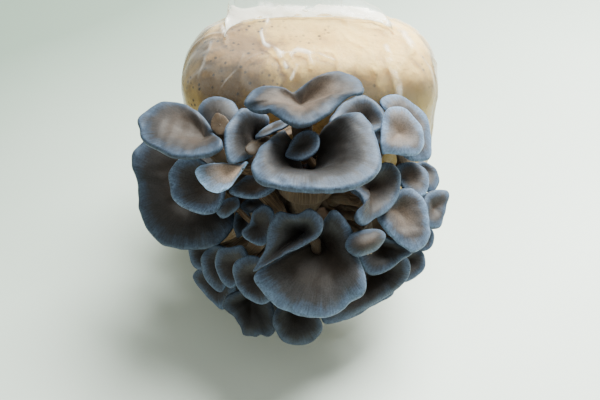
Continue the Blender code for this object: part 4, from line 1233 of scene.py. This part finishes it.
def mycelium(look):
    """Cream mycelium over sawdust, with brown chips and specks showing through, and painted shade in sawdust
    brown beside the clump.
    """
    material, tree, shader = material_tree("mycelium_on_sawdust")
    place = node(tree, "ShaderNodeTexCoord").outputs["Object"]
    patch = layer_of(tree, "patch").outputs["Fac"]
    clouds = noise(tree, place, 22.0, 5.0, 0.6)
    grains = noise(tree, place, 160.0, 6.0, 0.7)
    chips = node(tree, "ShaderNodeTexVoronoi", {"Vector": place, "Scale": 150.0, "Randomness": 1.0},
                 feature="F1").outputs["Distance"]
    thinness_and_shade = number(tree, "MULTIPLY_ADD", patch, 0.36, clouds)
    thinness_and_shade = number(tree, "MULTIPLY_ADD", grains, 0.35, thinness_and_shade)
    colour = ramp(tree, thinness_and_shade, (0.55, tuple(look.colour)), (0.78, tuple(look.husk_colour)),
                  (1.0, tuple(look.sawdust_and_shade_colour)))
    stains = noise(tree, place, 55.0, 7.0, 0.75)
    bare = number(tree, "MULTIPLY", mapped(tree, stains, 0.54, 0.66), mapped(tree, thinness_and_shade, 0.66, 0.85))
    colour = mixed(tree, bare, colour, (*look.sawdust_and_shade_colour, 1.0))
    spots = number(tree, "MULTIPLY", mapped(tree, chips, 0.26, 0.12), mapped(tree, thinness_and_shade, 0.62, 0.8))
    colour = mixed(tree, spots, colour, (*look.speck_colour, 1.0))
    relief = number(tree, "MULTIPLY_ADD", grains, 0.7, number(tree, "MULTIPLY", clouds, 1.4))
    set_sockets(tree, shader, Base_Color=colour, Roughness=mapped(tree, grains, 0.3, 0.7, 0.95, 0.7),
                Normal=bumped(tree, relief, 0.0025), Subsurface_Weight=0.1, Subsurface_Scale=0.004,
                Subsurface_Radius=(1.0, 0.75, 0.5))
    return material


def clear_film(look):
    """Clear polythene: see-through, glossy at its creases, with a faint milky haze, and milky white along its
    creases that is in part a painted highlight.
    """
    material, tree, shader = material_tree("clear_polythene")
    place = node(tree, "ShaderNodeTexCoord").outputs["Object"]
    crease = layer_of(tree, "crease").outputs["Fac"]
    haze = noise(tree, place, 35.0, 4.0, 0.6)
    wrinkles = noise(tree, scaled(tree, place, (1.0, 1.0, 0.4)), 75.0, 4.0, 0.5)
    normal = bumped(tree, wrinkles, 0.002, 0.4)
    set_sockets(tree, shader, Base_Color=(0.97, 0.96, 0.90, 1.0), Roughness=look.roughness,
                Specular_IOR_Level=0.6, Normal=normal)
    gloss = node(tree, "ShaderNodeFresnel", {"IOR": 1.45, "Normal": normal}).outputs[0]
    milky = mapped(tree, haze, 0.35, 0.75, 0.4 * look.haze, 1.6 * look.haze)
    # The creases are made milky white: in part a painted highlight standing for their glints
    broken = number(tree, "MULTIPLY", mapped(tree, crease, 0.35, 1.5), mapped(tree, wrinkles, 0.4, 0.58))
    milky = number(tree, "MULTIPLY_ADD", broken, look.crease_haze_and_highlight, milky)
    share = number(tree, "MINIMUM", number(tree, "ADD", gloss, milky), 1.0)
    clear = node(tree, "ShaderNodeBsdfTransparent", {"Color": (0.97, 0.98, 0.98, 1.0)})
    blend = node(tree, "ShaderNodeMixShader", {0: share, 1: clear.outputs[0], 2: shader.outputs[0]})
    tree.links.new(blend.outputs[0], tree.nodes["Material Output"].inputs["Surface"])
    return material


def floor_paint(look):
    """Smooth pale card, with painted shade growing towards the back left."""
    material, tree, shader = material_tree("pale_floor")
    place = node(tree, "ShaderNodeTexCoord").outputs["Object"]
    # Painted shade: the floor darkens along the lean towards the back left, as light falling off from the
    # lamp
    lean = node(tree, "ShaderNodeVectorMath", {0: place, 1: look.floor_lean}, operation="DOT_PRODUCT")
    mottle = noise(tree, place, 3.0, 3.0)
    shade = number(tree, "MULTIPLY_ADD", mottle, 0.1, lean.outputs["Value"])
    colour = mixed(tree, mapped(tree, shade, -0.35, 0.25), (*look.far_shade_colour, 1.0), (*look.floor_colour, 1.0))
    set_sockets(tree, shader, Base_Color=colour, Roughness=0.7, Specular_IOR_Level=0.25)
    return material


def area_light(name, place, aim, size, power, colour):
    """A large soft lamp at a place, turned towards its aim, both in metres."""
    lamp = bpy.data.lights.new(name, "AREA")
    lamp.shape = "RECTANGLE"
    lamp.size, lamp.size_y = size
    lamp.energy = power
    lamp.color = colour
    holder = bpy.data.objects.new(name, lamp)
    holder.location = place
    holder.rotation_euler = (Vector(aim) - Vector(place)).to_track_quat("-Z", "Y").to_euler()
    bpy.context.scene.collection.objects.link(holder)
    return holder


def build_stage(look):
    """The floor, the lamps, the sky and the camera."""
    reach = 4.0
    data = bpy.data.meshes.new("floor")
    corners = [(-reach, -reach, 0.0), (reach, -reach, 0.0), (reach, reach, 0.0), (-reach, reach, 0.0)]
    data.from_pydata(corners, [], [(0, 1, 2, 3)])
    data.materials.append(floor_paint(look))
    floor = bpy.data.objects.new("floor", data)
    bpy.context.scene.collection.objects.link(floor)

    aim = (0.0, -0.1, 0.1)
    area_light("window", (0.42, 0.42, 1.2), aim, (0.8, 0.8), look.window_power, (0.98, 1.0, 0.96))
    area_light("front_fill", (-0.9, -1.2, 1.0), aim, (1.2, 0.9), look.fill_power, (0.86, 0.93, 1.0))
    world = bpy.data.worlds.new("pale_room")
    world.use_nodes = True
    sky = world.node_tree.nodes["Background"]
    sky.inputs["Color"].default_value = (*look.sky_colour, 1.0)
    sky.inputs["Strength"].default_value = look.sky_strength
    bpy.context.scene.world = world

    camera = bpy.data.cameras.new("camera")
    camera.sensor_width = SENSOR_WIDTH
    camera.lens = EYE_DISTANCE / (GRID_STEP * FRAME_WIDTH) * SENSOR_WIDTH
    holder = bpy.data.objects.new("camera", camera)
    holder.location = Vector((CLUSTER_MIDDLE + EYE_DISTANCE * TO_EYE) * MM)
    holder.rotation_euler = (math.pi / 2 - EYE_ELEVATION, 0.0, 0.0)
    bpy.context.scene.collection.objects.link(holder)
    bpy.context.scene.camera = holder


def length_property(name, description, default):
    return bpy.props.FloatProperty(name=name, description=description, default=default,
                                   unit="LENGTH", min=0.0)


def colour_property(name, description, default):
    return bpy.props.FloatVectorProperty(name=name, description=description, default=default,
                                         subtype="COLOR", size=3, min=0.0, max=1.0)


class MushroomLook(bpy.types.PropertyGroup):
    """Sizes and colours of the caps and stems."""

    detail: length_property("Detail", "Distance between the points of a cap's mesh", 0.00125)
    lip: length_property("Margin", "Radius of the rolled margin of a cap with a lip of one", 0.001)
    ripple: length_property("Ripple", "Height of the waves along a cap's margin", 0.0006)
    gill_depth: length_property("Gill depth", "Depth of the grooves between gills", 0.0007)
    root_spread: bpy.props.FloatProperty(name="Root spread", description="How much a stem widens at its root",
                                         default=0.3, subtype="FACTOR", min=0.0, max=1.0)
    # Painted shade where the margin curls down
    shaded_edge_colour: colour_property("Edge", "Colour at the very edge of a cap", (0.052, 0.075, 0.114))
    rim_colour: colour_property("Margin", "Colour of the rolled margin", (0.094, 0.145, 0.222))
    band_colour: colour_property("Band", "Colour just inside the margin", (0.060, 0.086, 0.130))
    cap_colour: colour_property("Cap", "Colour half way in", (0.044, 0.045, 0.049))
    centre_colour: colour_property("Brown centre", "Colour of a brown centre", (0.078, 0.058, 0.044))
    # The dark centre stands in part for painted shade deep in a funnel
    dark_and_shaded_centre_colour: colour_property("Dark centre", "Colour of a dark centre", (0.011, 0.0085, 0.007))
    gill_colour: colour_property("Gills", "Colour of the gills' edges", (0.21, 0.134, 0.072))
    # Painted shade in the grooves between the gills
    painted_shade_between_gills: colour_property("Between gills", "Colour between the gills", (0.07, 0.040, 0.020))
    foot_colour: colour_property("Stem foot", "Colour low on the stems", (0.19, 0.130, 0.080))


class ClumpLook(bpy.types.PropertyGroup):
    """Sizes and colours of the clump of stem feet."""

    lump: length_property("Lumps", "Height of the lumps", 0.0016)
    colour: colour_property("Flesh", "Colour of the raised flesh", (0.17, 0.12, 0.08))
    # Painted shade in the hollows
    hollow_shade_colour: colour_property("Hollows", "Colour of the hollows", (0.035, 0.022, 0.014))


class BlockLook(bpy.types.PropertyGroup):
    """Sizes and colours of the block."""

    lump: length_property("Lumps", "Depth of the hollows in the block's skin", 0.0009)
    colour: colour_property("Mycelium", "Colour of thick mycelium", (0.88, 0.64, 0.23))
    husk_colour: colour_property("Thin mycelium", "Colour where sawdust shows through", (0.74, 0.50, 0.15))
    # Also the colour of the painted shade beside the clump
    sawdust_and_shade_colour: colour_property("Sawdust", "Colour of bare sawdust", (0.30, 0.17, 0.055))
    speck_colour: colour_property("Specks", "Colour of dark chips", (0.035, 0.015, 0.006))


class FilmLook(bpy.types.PropertyGroup):
    """Sizes and finish of the film."""

    crease: length_property("Creases", "Height of the creases", 0.001)
    haze: bpy.props.FloatProperty(name="Haze", description="How milky the film is", default=0.035,
                                  subtype="FACTOR", min=0.0, max=1.0)
    # Milky white along the creases, in part a painted highlight
    crease_haze_and_highlight: bpy.props.FloatProperty(name="Crease haze", description="How milky its creases are",
                                         default=0.5, subtype="FACTOR", min=0.0, max=1.0)
    roughness: bpy.props.FloatProperty(name="Roughness", description="How blurred its reflections are",
                                       default=0.16, subtype="FACTOR", min=0.0, max=1.0)


class StageLook(bpy.types.PropertyGroup):
    """The floor and the light."""

    floor_colour: colour_property("Floor", "Colour of the floor", (0.83, 0.93, 0.85))
    # Painted shade of the floor far from the lamp
    far_shade_colour: colour_property("Far floor", "Colour of the floor towards the back left", (0.24, 0.32, 0.26))
    floor_lean: bpy.props.FloatVectorProperty(name="Floor lean", default=(0.62, -0.72, 0.0), subtype="XYZ",
                                              description="Way in which the floor grows paler")
    sky_colour: colour_property("Sky", "Colour of the light from all round", (0.90, 0.90, 0.80))
    sky_strength: bpy.props.FloatProperty(name="Sky strength", description="Light from all round",
                                          default=0.52, min=0.0)
    window_power: bpy.props.FloatProperty(name="Window", description="Power of the large lamp",
                                          default=82.0, subtype="POWER", unit="POWER", min=0.0)
    fill_power: bpy.props.FloatProperty(name="Fill", description="Power of the front lamp",
                                        default=3.0, subtype="POWER", unit="POWER", min=0.0)


class GROWBAG_OT_mushrooms(bpy.types.Operator):
    """Makes every mushroom, in its solid's place"""

    bl_idname = "growbag.mushrooms"
    bl_label = "Mushrooms"

    def execute(self, context):
        look = context.scene.growbag_mushrooms
        material = oyster_flesh(look)
        for index, mushroom in enumerate(MUSHROOMS):
            mushroom_piece(mushroom, look, 100 + index, material)
        return {"FINISHED"}


class GROWBAG_OT_clump(bpy.types.Operator):
    """Makes the clump of stem feet"""

    bl_idname = "growbag.clump"
    bl_label = "Clump"

    def execute(self, context):
        look = context.scene.growbag_clump
        clump_piece(look, clump_flesh(look))
        return {"FINISHED"}


class GROWBAG_OT_block(bpy.types.Operator):
    """Makes the spawn block"""

    bl_idname = "growbag.block"
    bl_label = "Block"

    def execute(self, context):
        look = context.scene.growbag_block
        block_piece(look, mycelium(look))
        return {"FINISHED"}


class GROWBAG_OT_film(bpy.types.Operator):
    """Makes the film round the block"""

    bl_idname = "growbag.film"
    bl_label = "Film"

    def execute(self, context):
        look = context.scene.growbag_film
        film_piece(look, clear_film(look))
        return {"FINISHED"}


class GROWBAG_OT_stage(bpy.types.Operator):
    """Makes the floor, the lamps and the camera"""

    bl_idname = "growbag.stage"
    bl_label = "Stage"

    def execute(self, context):
        build_stage(context.scene.growbag_stage)
        return {"FINISHED"}


STEPS = (
    ("growbag_mushrooms", MushroomLook, GROWBAG_OT_mushrooms),
    ("growbag_clump", ClumpLook, GROWBAG_OT_clump),
    ("growbag_block", BlockLook, GROWBAG_OT_block),
    ("growbag_film", FilmLook, GROWBAG_OT_film),
    ("growbag_stage", StageLook, GROWBAG_OT_stage),
)


class GROWBAG_PT_panel(bpy.types.Panel):
    """Lists the pieces of the grow bag and their looks"""

    bl_label = "Grow bag"
    bl_idname = "GROWBAG_PT_panel"
    bl_space_type = "VIEW_3D"
    bl_region_type = "UI"
    bl_category = "Grow bag"

    def draw(self, context):
        for name, look, step in STEPS:
            box = self.layout.box()
            box.operator(step.bl_idname)
            for field in look.__annotations__:
                box.prop(getattr(context.scene, name), field)


def register():
    for name, look, step in STEPS:
        bpy.utils.register_class(look)
        bpy.utils.register_class(step)
        setattr(bpy.types.Scene, name, bpy.props.PointerProperty(type=look))
    bpy.utils.register_class(GROWBAG_PT_panel)


def unregister():
    bpy.utils.unregister_class(GROWBAG_PT_panel)
    for name, look, step in reversed(STEPS):
        delattr(bpy.types.Scene, name)
        bpy.utils.unregister_class(step)
        bpy.utils.unregister_class(look)


def main():
    register()
    bpy.ops.growbag.mushrooms()
    bpy.ops.growbag.clump()
    bpy.ops.growbag.block()
    bpy.ops.growbag.film()
    bpy.ops.growbag.stage()


if __name__ == "__main__":
    main()
